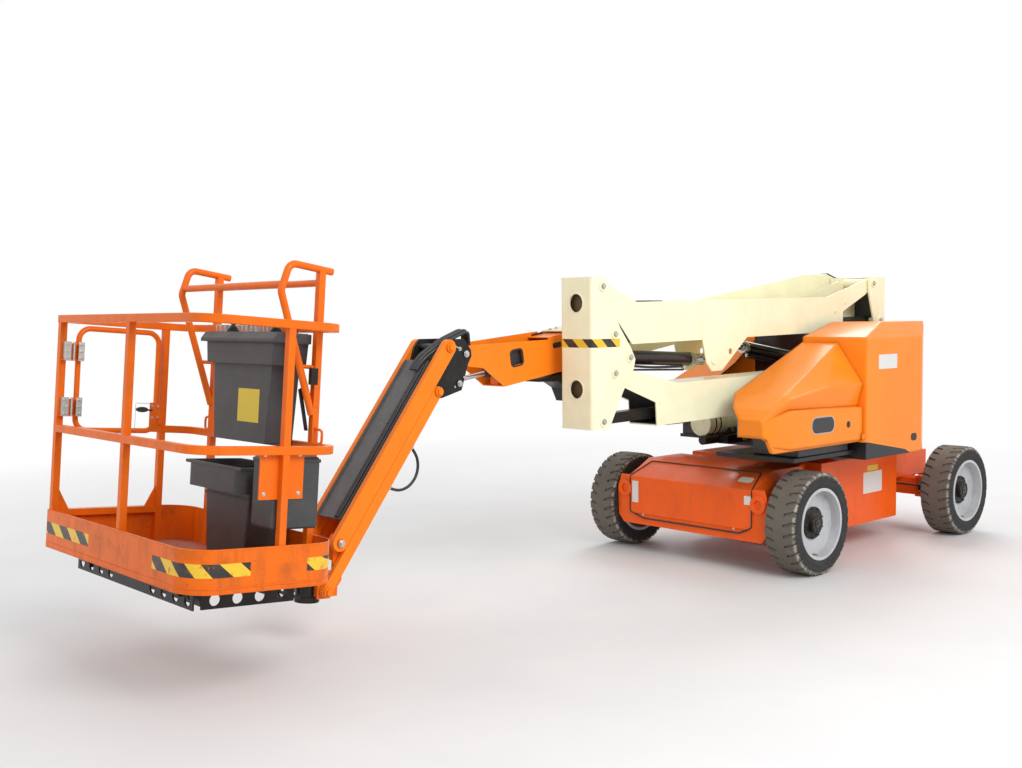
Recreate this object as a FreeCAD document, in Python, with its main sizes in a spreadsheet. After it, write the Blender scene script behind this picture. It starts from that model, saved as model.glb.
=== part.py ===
"""Articulating boom lift: chassis on four wheels, slewing turntable, two-stage tower, telescoping main boom, jib
and platform. Millimetres, +X towards the platform, +Y the side of the long hood, +Z up."""
import FreeCAD, Part
import math
import os
import Sketcher

Vector = FreeCAD.Vector
Rotation = FreeCAD.Rotation
Placement = FreeCAD.Placement

SIZES = {
    # The machine's drive axle centre on the floor, in the model's frame
    "axle_x": -962.67, "mid_y": 17.5,
    # Wheels
    "wheel_base": 2010, "track_half": 760, "tyre_radius": 335, "tyre_width": 230, "tyre_crown": 200,
    "wall_low": 262, "wall_high": 300, "rim_width": 224, "rim_seat": 222, "rim_flange": 233, "rim_lip": 8,
    "rim_wall": 9, "disc_set": 22, "disc_thick": 10, "disc_dish": 12, "hub_radius": 84, "hub_back": 60,
    "hub_plate": 105, "hub_plate_thick": 12, "hub_cap": 60, "hub_nose": 78, "spindle_radius": 40,
    "seat_gap": 0.3, "run_gap": 0.5, "axle_gap": 5, "margin": 60,
    # Chassis
    "frame_half": 560, "frame_front": -480, "frame_rear": -1500, "frame_low": 170, "frame_top": 655,
    "neck_half": 430, "neck_front": 44, "neck_low": 400, "tail_half": 370, "tail_top": 590, "tail_slope": 150,
    "tail_end": -2300, "end_plate": 12, "end_plate_low": 300, "lug_bore": 28, "rear_lug_y": 300,
    "rear_lug_z": 350,
    "casing_half": 530, "casing_front": 275, "casing_rear": -300, "casing_low": 245, "casing_nose": 545,
    "casing_brow": 60, "casing_sheet": 12, "casing_arch": 440, "casing_step": 110, "casing_chin": 40,
    "lug_y": 575, "lug_z": 435, "lug_half": 64, "lug_thick": 16, "lug_x": 200, "lug_out": 36,
    "ring_outer": 300, "ring_inner": 200, "ring_top": 735,
    # Axles and steering
    "beam_low": 270, "beam_half": 65, "gear_radius": 95, "gear_start": 430, "king_y": 560, "king_radius": 16,
    "knuckle_radius": 42, "knuckle_half": 60, "yoke_thick": 20, "yoke_half": 50, "yoke_in": 76,
    "arm_reach": 140, "arm_thick": 22,
    "arm_half": 20, "tie_radius": 14, "tie_eye": 24, "tie_pin": 8,
    # Turntable
    "swing_x": -1005, "deck_low": 740, "deck_thick": 25, "deck_rear": -1800, "deck_front": -420,
    "deck_half": 359.7,
    "wing_front": 200, "wing_side": 790, "far_wing_front": -620, "far_wing_rear": -990,
    "tail_radius": 905, "cover_top": 1628, "cover_low": 700, "cover_inner": 360, "cover_outer": 855,
    "cover_edge": 1515, "cover_brow": 750, "cover_fall": 370, "cover_front_top": 1525,
    "cover_seam": -550, "far_seam": -1000, "hood_gap": 6,
    "hood_tip": 560, "far_hood_tip": -330, "hood_low": 835, "hood_skin": 12, "hinge_pin": 8,
    "hood_pin_in": 20, "hood_pin_y": 845, "hood_boss": 14, "hood_boss_high": 45,
    "weight_front": -1450, "weight_top": 1120, "weight_half": 350, "slab_front": -1812,
    "pack_front": 120, "pack_rear": -470, "pack_inner": 420, "pack_outer": 770, "pack_top": 1080,
    "motor_radius": 105, "motor_rear": -900, "motor_front": -520, "motor_y": -190, "pump_radius": 62,
    "pump_front": -380, "drive_radius": 70, "drive_x": -640, "drive_y": -60, "drive_top": 840,
    # Tower
    "mast_long": 505, "mast_step": 330, "mast_notch": 380, "tower_y": 162.5, "pivot_x": -1705,
    "pivot_z": 1400, "span": 3042, "fall": 1.1, "pin_radius": 22,
    "pin_head": 30, "head_thick": 9, "link_x": 105, "link_z": 283, "upright_set": 107, "upright_rise": 516,
    "boom_half": 114.5, "boom_wall": 8, "beam_top": 97, "beam_base": 352, "root_knee": 325, "far_knee": 612,
    "root_foot": 277, "far_foot": 402, "notch_rise": 205, "notch_in": 82, "notch_top": 85, "ear_radius": 36,
    "sleeve_radius": 36, "gusset_near": 955, "gusset_far": 1435, "gusset_over": 225, "gusset_deep": 560,
    "gusset_pin_x": 1067, "gusset_pin_z": 486, "gusset_thick": 8, "gusset_hole_x": 1250, "gusset_hole_z": 440,
    "gusset_hole": 20, "tower_link_half": 32, "tower_link_wide": 40, "link_eye": 34, "eye_half": 50,
    "cheek_half": 132.5, "cheek_thick": 12, "front_face": 194, "front_low": 330, "front_high": 570,
    "front_round": 26, "front_hole": 56, "front_hole_low": -93, "front_hole_high": 418, "brow_in": 135,
    "sill_in": 150, "sill": 12,
    "anchor_x": 242, "anchor_z": 425, "rear_back": 175, "rear_high": 48, "rear_low": 325, "rear_lap": 40,
    # Cylinders
    "barrel_radius": 45, "barrel_bore": 28, "rod_radius": 27.5, "cyl_eye": 38, "cyl_eye_half": 40,
    "rod_eye_half": 30, "barrel_length": 745, "barrel_base": 85, "barrel_start": 62, "barrel_neck": 34,
    "rod_start": 100, "rod_pin_half": 101,
    "lift_barrel_length": 1050, "lift_pin_half": 35, "lift_lug_gap": 40, "lift_lug_thick": 12,
    "lift_x": -1600, "lift_z": 1300,
    # Main boom
    "boom_y": -160, "hinge_x": -1600, "hinge_z": 1870, "boom_slope": 8.6, "main_half": 115, "main_wall": 6,
    "main_low": 84, "main_high": 176, "main_length": 3000, "main_tail": 70, "main_knee": 420, "main_root": 60,
    "main_tail_low": 72, "main_tail_top": 144, "main_tail_in": 96, "lift_pin_x": 1227, "lift_pin_low": 219,
    "lift_lug_half": 145, "post_gap": 6, "post_thick": 12, "guard_reach": 250, "guard_drop": 190,
    # Fly boom
    "fly_half": 96, "fly_low": 66, "fly_high": 160, "fly_wall": 6, "fly_start": 300, "fly_end": 3150,
    "pad_length": 120, "cheek_plate": 10, "tip_x": 3826, "tip_z": 179, "tip_bore": 20, "tip_sleeve": 34,
    "belly_x": 3549, "knee_x": 3691, "knee_z": 72, "cheek_start": 3060, "near_top": 135, "far_top": 181,
    "window_x": 3425, "window_z": 85, "window_half": 48, "level_radius": 32, "level_bore": 16,
    "level_rod": 15, "level_start": 3020, "level_end": 3600, "level_rod_start": 3260, "level_eye": 22,
    "level_eye_half": 20,
    # Jib bracket, jib and links
    "bracket_in": 102, "bracket_thick": 12, "level_dx": 52, "level_dz": 165, "jib_x": 2360, "jib_z": 1515,
    "jib_angle": 53, "jib_length": 1240, "jib_dx": 82, "jib_dz": 241.5, "rail_in": 120, "rail_thick": 35,
    "rail_half": 45, "leg_thick": 30, "leg_half": 30, "jib_pin": 20, "cross_radius": 25, "cross_near": 300,
    "cross_far": 940, "jib_cover_half": 98, "jib_cover_near": 120, "jib_cover_far": 1130, "web_near": 175,
    "web_far": 1065, "web_thick": 6, "bracket_plate_x": 2372,
    # Platform support and carrier, in the platform's level frame at the far jib pin
    "level_tilt": 4.67, "rotor_x": 87, "rotor_radius": 62, "rotor_high": -148, "rotor_low": -288,
    "shaft_radius": 25, "disc_radius": 65, "disc_thick_low": 30, "arm_top": -77, "arm_wide": 46,
    "channel_half": 40, "channel_span": 600, "channel_low": -165, "channel_wall": 8, "channel_hole": 26,
    "channel_pitch": 110, "channel_in": 140, "channel_out": 600,
    # Platform
    "back_x": 417, "floor_low": -73, "floor_thick": 6, "platform_deep": 745, "platform_long": 1520,
    "platform_y": 10, "toe_high": 190, "toe_thick": 6, "corner": 150, "tube": 19, "tube_round": 4,
    "post": 16.7, "guard_tube": 17, "guard_bend": 45,
    "tube_inset": 23, "guard_back": 60, "guard_curl": 40, "plate_half": 110, "plate_low": 380,
    "plate_high": 600,
    "rail_top": 1150, "rail_mid": 600, "guard_top": 1420, "guard_out": 210, "guard_foot": 750,
    "post_left": -450, "post_right": 510, "front_post": 50, "side_post": 310, "latch_post": 168,
    "gate_tube": 14, "gate_high": 1110, "gate_bottom": 590, "gate_hinge_in": 45, "gate_hinge_side": 32,
    "gate_reach": 472, "gate_bend": 60, "gate_start": 40,
    "hinge_inset": 120, "hinge_half": 40, "hinge_barrel": 12,
    "console_back": -50, "console_deep": 250, "console_left": -190, "console_wide": 680, "console_low": 970,
    "console_high": 1120, "lid_thick": 45, "lid_lap": 22, "console_taper": 35, "pedestal_back": 22,
    "pedestal_deep": 150, "pedestal_left": -150, "pedestal_wide": 550,
    "pedestal_low": 600, "tray_out": 340, "tray_left": -100, "tray_wide": 520, "tray_low": 375,
    "tray_high": 495,
    "tray_wall": 8, "side_box_back": 110, "side_box_deep": 240, "side_box_left": 545,
    "side_box_wide": 169, "foot_gusset": 65, "foot_gusset_high": 110,
    "side_box_low": 250, "side_box_high": 570, "low_box_left": -60, "low_box_wide": 420, "low_box_deep": 210,
    "low_box_high": 374.7, "guard_lift": 20, "guard_fall": 110, "guard_heel": 15, "cross_in": 12,
    "cross_drop": 80, "stem_taper": 35,
    # Mast plates and the ribs that carry the boom's lift cylinder
    "mast_back": 95, "mast_brow": 150, "mast_brow_drop": 110, "mast_cap": 55, "mast_back_drop": 60,
    "rib_foot": 20, "rib_root": 90, "rib_brow": 60, "rib_nose": 33, "guard_inset": 40,
    # Free hose loop under the jib link
    "hose_radius": 8, "hose_y": 135, "hose_start": 345, "hose_run": 48, "hose_turn": 21.7,
}

# Straight runs of the hose loop
HOSE_RUNS = 8

doc = FreeCAD.newDocument("BoomLift")
sheet = doc.addObject("Spreadsheet::Sheet", "Sizes")
for row, (alias, number) in enumerate(SIZES.items(), 1):
    sheet.set(f"A{row}", alias)
    sheet.set(f"B{row}", str(number))
    sheet.setAlias(f"B{row}", alias)
doc.recompute()


class Size:
    """A size of the sheet or a formula of such sizes: its text for an expression, and its value."""

    def __init__(self, text, value):
        self.text = text
        self.value = value

    def __add__(self, other):
        other = as_size(other)
        return Size(f"({self.text} + {other.text})", self.value + other.value)

    def __radd__(self, other):
        return as_size(other) + self

    def __sub__(self, other):
        other = as_size(other)
        return Size(f"({self.text} - {other.text})", self.value - other.value)

    def __rsub__(self, other):
        return as_size(other) - self

    def __mul__(self, other):
        other = as_size(other)
        return Size(f"{self.text} * {other.text}", self.value * other.value)

    def __rmul__(self, other):
        return as_size(other) * self

    def __truediv__(self, other):
        other = as_size(other)
        return Size(f"{self.text} / {other.text}", self.value / other.value)

    def __neg__(self):
        return Size(f"(0 - {self.text})", -self.value)


def as_size(value):
    """A plain number as a size."""
    return value if isinstance(value, Size) else Size(f"({value})", float(value))


def cosine(angle):
    """Cosine of an angle in degrees."""
    return Size(f"cos({angle.text})", math.cos(math.radians(angle.value)))


def sine(angle):
    """Sine of an angle in degrees."""
    return Size(f"sin({angle.text})", math.sin(math.radians(angle.value)))


def direction(rise, run):
    """Angle in degrees of a line with that rise over that run."""
    return Size(f"(atan2({rise.text}; {run.text}) / 1 deg)", math.degrees(math.atan2(rise.value, run.value)))


def distance(rise, run):
    """Length of a line with that rise over that run."""
    text = f"sqrt({rise.text} * {rise.text} + {run.text} * {run.text})"
    return Size(text, math.hypot(rise.value, run.value))


class Sizes:
    """The sheet's sizes by name."""

    def __getattr__(self, name):
        return Size(f"Sizes.{name}", float(SIZES[name]))


s = Sizes()
made = {}


def named(kind, name):
    """A new object of the document with a name that no other has."""
    return doc.addObject(kind, name)


def bind(item, prop, size):
    """Tie a property to a size."""
    item.setExpression(prop, as_size(size).text)


def place(item, x=0, y=0, z=0, turn=None, axis=(0, 1, 0)):
    """Put an object at a point, turned about an axis through it."""
    if turn is not None:
        item.Placement = Placement(Vector(), Rotation(Vector(*axis), as_size(turn).value))
        bind(item, "Placement.Rotation.Angle", turn)
    for letter, size in zip("xyz", (x, y, z)):
        bind(item, f"Placement.Base.{letter}", size)
    return item


def block(x0, x1, y0, y1, z0, z1):
    """A box between two corners."""
    item = named("Part::Box", "Block")
    for prop, low, high in (("Length", x0, x1), ("Width", y0, y1), ("Height", z0, z1)):
        bind(item, prop, as_size(high) - as_size(low))
    return place(item, x0, y0, z0)


ALONG = {"X": ((0, 1, 0), 90), "Y": ((-1, 0, 0), 90), "Z": ((0, 0, 1), 0)}


def rod(along, radius, start, end, a, b):
    """A round bar along a main axis from start to end, at a and b on the two other axes in X, Y, Z order."""
    item = named("Part::Cylinder", "Rod")
    bind(item, "Radius", radius)
    bind(item, "Height", as_size(end) - as_size(start))
    axis, angle = ALONG[along]
    item.Placement = Placement(Vector(), Rotation(Vector(*axis), angle))
    spot = {"X": (start, a, b), "Y": (a, start, b), "Z": (a, b, start)}[along]
    for letter, size in zip("xyz", spot):
        bind(item, f"Placement.Base.{letter}", size)
    return item


def fuse(*items):
    """One solid from several that meet."""
    item = named("Part::MultiFuse", "Fuse")
    item.Shapes = list(items)
    item.Refine = True
    return item


def cut(base, *tools):
    """A solid less the tools' space."""
    item = named("Part::Cut", "Cut")
    item.Base = base
    item.Tool = tools[0] if len(tools) == 1 else fuse(*tools)
    item.Refine = True
    return item


def common(first, second):
    """What two solids share."""
    item = named("Part::Common", "Common")
    item.Base = first
    item.Tool = second
    return item


def new_sketch(body, plane, points):
    """A closed outline of straight sides on one of a body's own planes, each corner tied to its sizes."""
    planes = {feature.Role: feature for feature in body.Origin.OriginFeatures}
    sketch = body.newObject("Sketcher::SketchObject", "Outline")
    sketch.AttachmentSupport = [(planes[plane + "_Plane"], "")]
    sketch.MapMode = "FlatFace"
    return draw(sketch, points)


def draw(sketch, points):
    """A sketch's closed outline of straight sides, each corner tied to its sizes."""
    corners = [(as_size(a), as_size(b)) for a, b in points]
    count = len(corners)
    for n, start in enumerate(corners):
        end = corners[(n + 1) % count]
        ends = [Vector(point[0].value, point[1].value, 0) for point in (start, end)]
        sketch.addGeometry(Part.LineSegment(*ends))
    for n in range(count):
        sketch.addConstraint(Sketcher.Constraint("Coincident", n, 2, (n + 1) % count, 1))
    for n, corner in enumerate(corners):
        for kind, size in zip(("DistanceX", "DistanceY"), corner):
            number = sketch.addConstraint(Sketcher.Constraint(kind, -1, 1, n, 1, size.value))
            sketch.setExpression(f"Constraints[{number}]", size.text)
    return sketch


def ruled(sections):
    """A solid with straight sides between outlines that stand across X, each a place along X and corners."""
    outlines = []
    for x, points in sections:
        sketch = draw(named("Sketcher::SketchObject", "Section"), points)
        sketch.Placement = Placement(Vector(), Rotation(Vector(1, 1, 1), 120))
        bind(sketch, "Placement.Base.x", x)
        outlines.append(sketch)
    item = named("Part::Loft", "Ruled")
    item.Sections = outlines
    item.Solid = True
    item.Ruled = True
    return item


def plate(plane, points, low, high):
    """An outline given thickness from low to high across its plane."""
    body = named("PartDesign::Body", "Plate")
    doc.recompute([body])
    sketch = new_sketch(body, plane, points)
    pad = body.newObject("PartDesign::Pad", "Thickness")
    pad.Profile = sketch
    pad.Reversed = plane == "XZ"
    bind(pad, "Length", as_size(high) - as_size(low))
    normal = {"XY": "z", "XZ": "y", "YZ": "x"}[plane]
    bind(body, f"Placement.Base.{normal}", low)
    return body


def soften(body, radius, wanted):
    """Round the edges of a body's last feature that a test picks."""
    doc.recompute()
    tip = body.Tip
    edges = [f"Edge{n}" for n, edge in enumerate(tip.Shape.Edges, 1) if wanted(edge)]
    rounding = body.newObject("PartDesign::Fillet", "Rounding")
    rounding.Base = (tip, edges)
    bind(rounding, "Radius", radius)
    return body


def turned(points):
    """An outline of (along, radius) corners turned about the Y axis."""
    body = named("PartDesign::Body", "Turned")
    doc.recompute([body])
    sketch = new_sketch(body, "YZ", points)
    spin = body.newObject("PartDesign::Revolution", "Spin")
    spin.Profile = sketch
    spin.ReferenceAxis = (sketch, ["H_Axis"])
    spin.Angle = 360
    return body


def node(name, item):
    """Name a finished sub-part."""
    item.Label = name
    made[name] = item
    return item


def whole(item):
    """A primitive or body wrapped, so that its own place is kept when the sub-part is placed."""
    if item.TypeId not in ("Part::Box", "Part::Cylinder", "PartDesign::Body"):
        return item
    wrap = named("Part::Compound", "Whole")
    wrap.Links = [item]
    return wrap


def stand(name, item):
    """Finish a sub-part whose sizes count from the drive axle's centre on the floor."""
    return node(name, place(whole(item), s.axle_x, s.mid_y, 0))


def hang(name, item, x, y, z, turn, axis=(0, 1, 0)):
    """Finish a sub-part whose sizes count from a pivot, turned about it."""
    return node(name, place(whole(item), s.axle_x + x, s.mid_y + y, z, turn, axis))


def turn_x(x, z, angle):
    """The X part of a vector after a tilt that lowers +X by an angle."""
    return x * cosine(angle) + z * sine(angle)


def turn_z(x, z, angle):
    """The Z part of a vector after a tilt that lowers +X by an angle."""
    return z * cosine(angle) - x * sine(angle)


WHEELS = (("front_left", 0, 1), ("front_right", 0, -1), ("rear_left", -1, 1), ("rear_right", -1, -1))


def wheels():
    """Solid tyres on deep-dish rims, bolted to hubs that turn on the spindles."""
    bead = s.rim_width / 2 - s.rim_lip - s.seat_gap
    rim_edge = s.rim_width / 2
    for corner, back, side in WHEELS:
        x, y = s.wheel_base * back, s.track_half * side
        tyre = turned([(-bead, s.rim_seat + s.seat_gap), (-bead, s.rim_flange + s.seat_gap),
                       (-s.tyre_width / 2, s.wall_low), (-s.tyre_width / 2, s.wall_high),
                       (-s.tyre_crown / 2, s.tyre_radius), (s.tyre_crown / 2, s.tyre_radius),
                       (s.tyre_width / 2, s.wall_high), (s.tyre_width / 2, s.wall_low),
                       (bead, s.rim_flange + s.seat_gap), (bead, s.rim_seat + s.seat_gap)])
        hang("tyre_" + corner, tyre, x, y, s.tyre_radius, None)
        barrel = s.rim_seat - s.rim_wall
        outline = [(-rim_edge, barrel), (-rim_edge, s.rim_flange), (s.rim_lip - rim_edge, s.rim_flange),
                   (s.rim_lip - rim_edge, s.rim_seat), (rim_edge - s.rim_lip, s.rim_seat),
                   (rim_edge - s.rim_lip, s.rim_flange), (rim_edge, s.rim_flange), (rim_edge, barrel),
                   (s.disc_set + s.disc_dish + s.disc_thick, barrel),
                   (s.disc_set + s.disc_thick, s.hub_radius + s.seat_gap),
                   (s.disc_set, s.hub_radius + s.seat_gap), (s.disc_set + s.disc_dish, barrel)]
        hang("rim_" + corner, turned([(side * w, r) for w, r in outline]), x, y, s.tyre_radius, None)
        slope = s.disc_dish * (s.hub_plate - s.hub_radius) / (barrel - s.hub_radius)
        seat = s.disc_set + s.disc_thick + slope + s.seat_gap
        plate_end = seat + s.hub_plate_thick
        outline = [(-s.hub_back, s.spindle_radius + s.run_gap), (-s.hub_back, s.hub_radius), (seat, s.hub_radius),
                   (seat, s.hub_plate), (plate_end, s.hub_plate), (plate_end, s.hub_cap), (s.hub_nose, s.hub_cap),
                   (s.hub_nose, as_size(0)), (as_size(0), as_size(0)), (as_size(0), s.spindle_radius + s.run_gap)]
        hang("hub_" + corner, turned([(side * w, r) for w, r in outline]), x, y, s.tyre_radius, None)


def chassis():
    """Box frame between the wheels, with a neck over each axle and tie-down holes at the tail."""
    belly = block(s.frame_rear, s.frame_front, -s.frame_half, s.frame_half, s.frame_low, s.frame_top)
    neck = block(s.frame_front, s.neck_front, -s.neck_half, s.neck_half, s.neck_low + s.seat_gap,
                 s.frame_top - s.casing_sheet - s.seat_gap)
    tail = plate("XZ", [(s.frame_rear, s.neck_low + s.seat_gap), (s.frame_rear, s.frame_top),
                        (s.frame_rear - s.tail_slope, s.frame_top), (s.frame_rear - 2 * s.tail_slope, s.tail_top),
                        (s.tail_end, s.tail_top), (s.tail_end, s.neck_low + s.seat_gap)],
                 -s.tail_half, s.tail_half)
    end = block(s.tail_end - s.end_plate, s.tail_end, -s.tail_half, s.tail_half, s.end_plate_low, s.tail_top)
    holes = [rod("X", s.lug_bore, s.tail_end - 2 * s.end_plate, s.tail_end + s.end_plate, side * s.rear_lug_y,
                 s.rear_lug_z) for side in (1, -1)]
    stand("chassis_frame", cut(fuse(belly, neck, tail, end), *holes))


def drive_end_casing():
    """Sloped steel casing over the drive end, with a tie-down lug at each lower corner."""
    top, sheet_gap = s.frame_top, s.casing_sheet
    outer = plate("XZ", [(s.casing_rear, s.casing_arch), (s.casing_rear, top), (s.casing_brow, top),
                         (s.casing_front, s.casing_nose), (s.casing_front, s.casing_low + s.casing_chin),
                         (s.casing_front - s.casing_chin, s.casing_low), (s.casing_step, s.casing_low),
                         (s.casing_step, s.casing_arch)], -s.casing_half, s.casing_half)
    inside = s.casing_half - sheet_gap
    inner = plate("XZ", [(s.casing_rear - sheet_gap, s.frame_low), (s.casing_rear - sheet_gap, top - sheet_gap),
                         (s.casing_brow - sheet_gap, top - sheet_gap),
                         (s.casing_front - sheet_gap, s.casing_nose - sheet_gap),
                         (s.casing_front - sheet_gap, s.frame_low)], -inside, inside)
    lugs = []
    holes = []
    for side in (1, -1):
        near, far = side * (s.casing_half - sheet_gap / 2), side * (s.lug_y + s.lug_out)
        low, high = (near, far) if side > 0 else (far, near)
        lugs.append(block(s.lug_x, s.lug_x + s.lug_thick, low, high, s.lug_z - s.lug_half, s.lug_z + s.lug_half))
        holes.append(rod("X", s.lug_bore, s.lug_x - s.lug_thick, s.lug_x + 2 * s.lug_thick, side * s.lug_y,
                         s.lug_z))
    stand("drive_end_casing", cut(fuse(cut(outer, inner), *lugs), *holes))


def axles():
    """Drive axle with its gear cases and spindles, and steer axle with its yokes and kingpins."""
    centre = s.tyre_radius
    face = s.track_half - s.hub_back - s.axle_gap
    spindle_end = s.track_half - s.run_gap
    parts = [block(-s.beam_half, s.beam_half, -s.gear_start - s.end_plate, s.gear_start + s.end_plate,
                   s.beam_low, s.neck_low)]
    parts.append(rod("Y", s.gear_radius, s.gear_start, face, 0, centre))
    parts.append(rod("Y", s.gear_radius, -face, -s.gear_start, 0, centre))
    parts.append(rod("Y", s.spindle_radius, -spindle_end, -s.gear_start, 0, centre))
    parts.append(rod("Y", s.spindle_radius, s.gear_start, spindle_end, 0, centre))
    stand("drive_axle", fuse(*parts))

    x = -s.wheel_base
    yoke_low = centre - s.knuckle_half - s.seat_gap
    yoke_high = centre + s.knuckle_half + s.seat_gap
    inner = s.king_y - s.yoke_in
    parts = [block(x - s.beam_half, x + s.beam_half, -inner, inner, s.beam_low, s.neck_low)]
    for side in (1, -1):
        for low, high in ((yoke_low - s.yoke_thick, yoke_low), (yoke_high, yoke_high + s.yoke_thick)):
            near, far = side * (inner - s.yoke_thick), side * s.king_y
            low_y, high_y = (near, far) if side > 0 else (far, near)
            parts.append(block(x - s.yoke_half, x + s.yoke_half, low_y, high_y, low, high))
            parts.append(rod("Z", s.yoke_half, low, high, x, side * s.king_y))
        cheek = side * inner
        low_y, high_y = (cheek, cheek + s.yoke_thick / 2) if side > 0 else (cheek - s.yoke_thick / 2, cheek)
        parts.append(block(x - s.yoke_half, x + s.yoke_half, low_y, high_y, yoke_low - s.yoke_thick,
                           yoke_high + s.yoke_thick))
        parts.append(rod("Z", s.king_radius, yoke_low, yoke_high, x, side * s.king_y))
    stand("steer_axle", fuse(*parts))


def steering():
    """Knuckles on the kingpins, with an arm each, and the tie rod that joins the arms."""
    centre = s.tyre_radius
    for name, side in (("left", 1), ("right", -1)):
        spindle_end = side * (s.track_half - s.king_y - s.run_gap)
        low, high = (as_size(0), spindle_end) if side > 0 else (spindle_end, as_size(0))
        body = fuse(rod("Z", s.knuckle_radius, -s.knuckle_half, s.knuckle_half, 0, 0),
                    rod("Y", s.spindle_radius, low, high, 0, 0),
                    block(0, s.arm_reach, -s.arm_half, s.arm_half, -s.arm_thick / 2, s.arm_thick / 2),
                    rod("Z", s.arm_half, -s.arm_thick / 2, s.arm_thick / 2, s.arm_reach, 0))
        body = cut(body, rod("Z", s.king_radius + s.run_gap, -2 * s.knuckle_half, 2 * s.knuckle_half, 0, 0))
        pin = rod("Z", s.tie_pin, s.arm_thick / 2, s.arm_thick / 2 + 2 * s.tie_radius, s.arm_reach, 0)
        hang("knuckle_" + name, fuse(body, pin), -s.wheel_base, side * s.king_y, centre, None)
    low = centre + s.arm_thick / 2 + s.seat_gap
    high = low + 2 * s.tie_radius - s.tie_pin
    middle = (low + high) / 2
    x = s.arm_reach - s.wheel_base
    eyes = [rod("Z", s.tie_eye, low, high, x, side * s.king_y) for side in (1, -1)]
    bores = [rod("Z", s.tie_pin + s.run_gap, low - s.tie_pin, high + s.tie_pin, x, side * s.king_y)
             for side in (1, -1)]
    bar = rod("Y", s.tie_pin, -s.king_y, s.king_y, x, middle)
    stand("tie_rod", cut(fuse(bar, *eyes), *bores))


def slewing():
    """The ring that the turntable turns on."""
    outer = rod("Z", s.ring_outer, s.frame_top + s.seat_gap, s.ring_top, s.swing_x, 0)
    inner = rod("Z", s.ring_inner, s.frame_low, s.deck_low, s.swing_x, 0)
    stand("slew_ring", cut(outer, inner))


def pin_through(half, x, z):
    """A headed pin through a pair of cheeks, centred on Y zero."""
    return [rod("Y", s.pin_radius, -half, half, x, z),
            rod("Y", s.pin_head, half, half + s.head_thick, x, z),
            rod("Y", s.pin_head, -half - s.head_thick, -half, x, z)]


def turntable():
    """Deck with side wings, a spigot in the ring, and two mast plates that carry the tower's root pins."""
    deck_top = s.deck_low + s.deck_thick
    deck = block(s.deck_rear, s.deck_front, -s.deck_half, s.deck_half, s.deck_low, deck_top)
    near_wing = block(s.cover_seam + s.seat_gap, s.wing_front, s.deck_half - s.deck_thick, s.wing_side, s.deck_low,
                      deck_top)
    bridge = block(s.deck_front - s.deck_thick, s.wing_front, s.deck_half / 2, s.deck_half, s.deck_low, deck_top)
    far_wing = block(s.far_wing_rear, s.far_wing_front, -s.wing_side, s.deck_thick - s.deck_half, s.deck_low,
                     deck_top)
    spigot = rod("Z", s.ring_inner - s.seat_gap, s.frame_top + s.seat_gap, s.deck_low, s.swing_x, 0)
    mast = []
    for side in (1, -1):
        near, far = s.tower_y + side * (s.cheek_half - s.cheek_thick), s.tower_y + side * s.cheek_half
        low, high = (near, far) if side > 0 else (far, near)
        x, z = s.pivot_x, s.pivot_z
        mast.append(plate("XZ", [(x - s.mast_back, deck_top), (x + s.mast_long, deck_top),
                                 (x + s.mast_step, z - s.mast_notch), (x + s.mast_brow, z - s.mast_brow_drop),
                                 (x + s.mast_cap, z + s.mast_cap), (x - s.mast_cap, z + s.mast_cap),
                                 (x - s.mast_back, z - s.mast_back_drop)], low, high))
    pins = []
    for x, z in ((0, 0), (s.link_x, -s.link_z), (s.anchor_x, -s.anchor_z)):
        for pin in pin_through(s.cheek_half, s.pivot_x + x, s.pivot_z + z):
            pins.append(pin)
    shifted = fuse(*pins)
    place(shifted, 0, s.tower_y, 0)
    stand("turntable_frame", fuse(deck, near_wing, bridge, far_wing, spigot, *mast, shifted))


def counterweight():
    """Cast weight at the tail, its back on the tail's swing circle, with a slab behind the mast."""
    deck_top = s.deck_low + s.deck_thick + s.seat_gap
    near = s.tower_y - s.cheek_half - s.head_thick - s.post_gap
    behind = s.swing_x - s.tail_radius - s.margin
    mass = block(behind, s.weight_front, -s.weight_half, near, deck_top, s.weight_top)
    slab = block(behind, s.slab_front, -s.weight_half, s.weight_half, deck_top, s.weight_top)
    circle = rod("Z", s.tail_radius, s.frame_low, s.cover_top, s.swing_x, 0)
    stand("counterweight", common(fuse(mass, slab), circle))


def rear_covers():
    """The tall moulded cover at each side of the tail, chamfered above, its back on the tail's swing circle."""
    behind = s.swing_x - s.tail_radius - s.margin
    for name, side, seam in (("left", 1, s.cover_seam), ("right", -1, s.far_seam)):
        near, far, brow = side * s.cover_inner, side * s.cover_outer, side * s.cover_brow
        low, high = (near, far) if side > 0 else (far, near)
        across = plate("YZ", [(near, s.cover_low), (far, s.cover_low), (far, s.cover_edge), (brow, s.cover_top),
                              (near, s.cover_top)], behind, seam)
        along = plate("XZ", [(behind, s.cover_low), (seam, s.cover_low), (seam, s.cover_front_top),
                             (seam - s.cover_fall, s.cover_top), (behind, s.cover_top)], low, high)
        body = common(across, along)
        circle = fuse(rod("Z", s.tail_radius, s.frame_low, s.cover_top + s.margin, s.swing_x, 0),
                      block(s.swing_x, s.margin, low, high, s.frame_low, s.cover_top + s.margin))
        axis_x, axis_y = seam + s.hood_pin_in, side * s.hood_pin_y
        ear_in, ear_out = axis_y - side * 3 * s.hinge_pin, axis_y + side * s.hood_boss
        low, high = (ear_in, ear_out) if side > 0 else (ear_out, ear_in)
        ear_top = s.hood_low - s.seat_gap
        ear = block(seam - s.hinge_pin, axis_x + 2 * s.hinge_pin, low, high, ear_top - 2 * s.hinge_pin, ear_top)
        pin = rod("Z", s.hinge_pin, ear_top - s.hinge_pin, ear_top + s.hood_boss_high, axis_x, axis_y)
        stand("rear_cover_" + name, fuse(common(body, circle), ear, pin))


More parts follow.
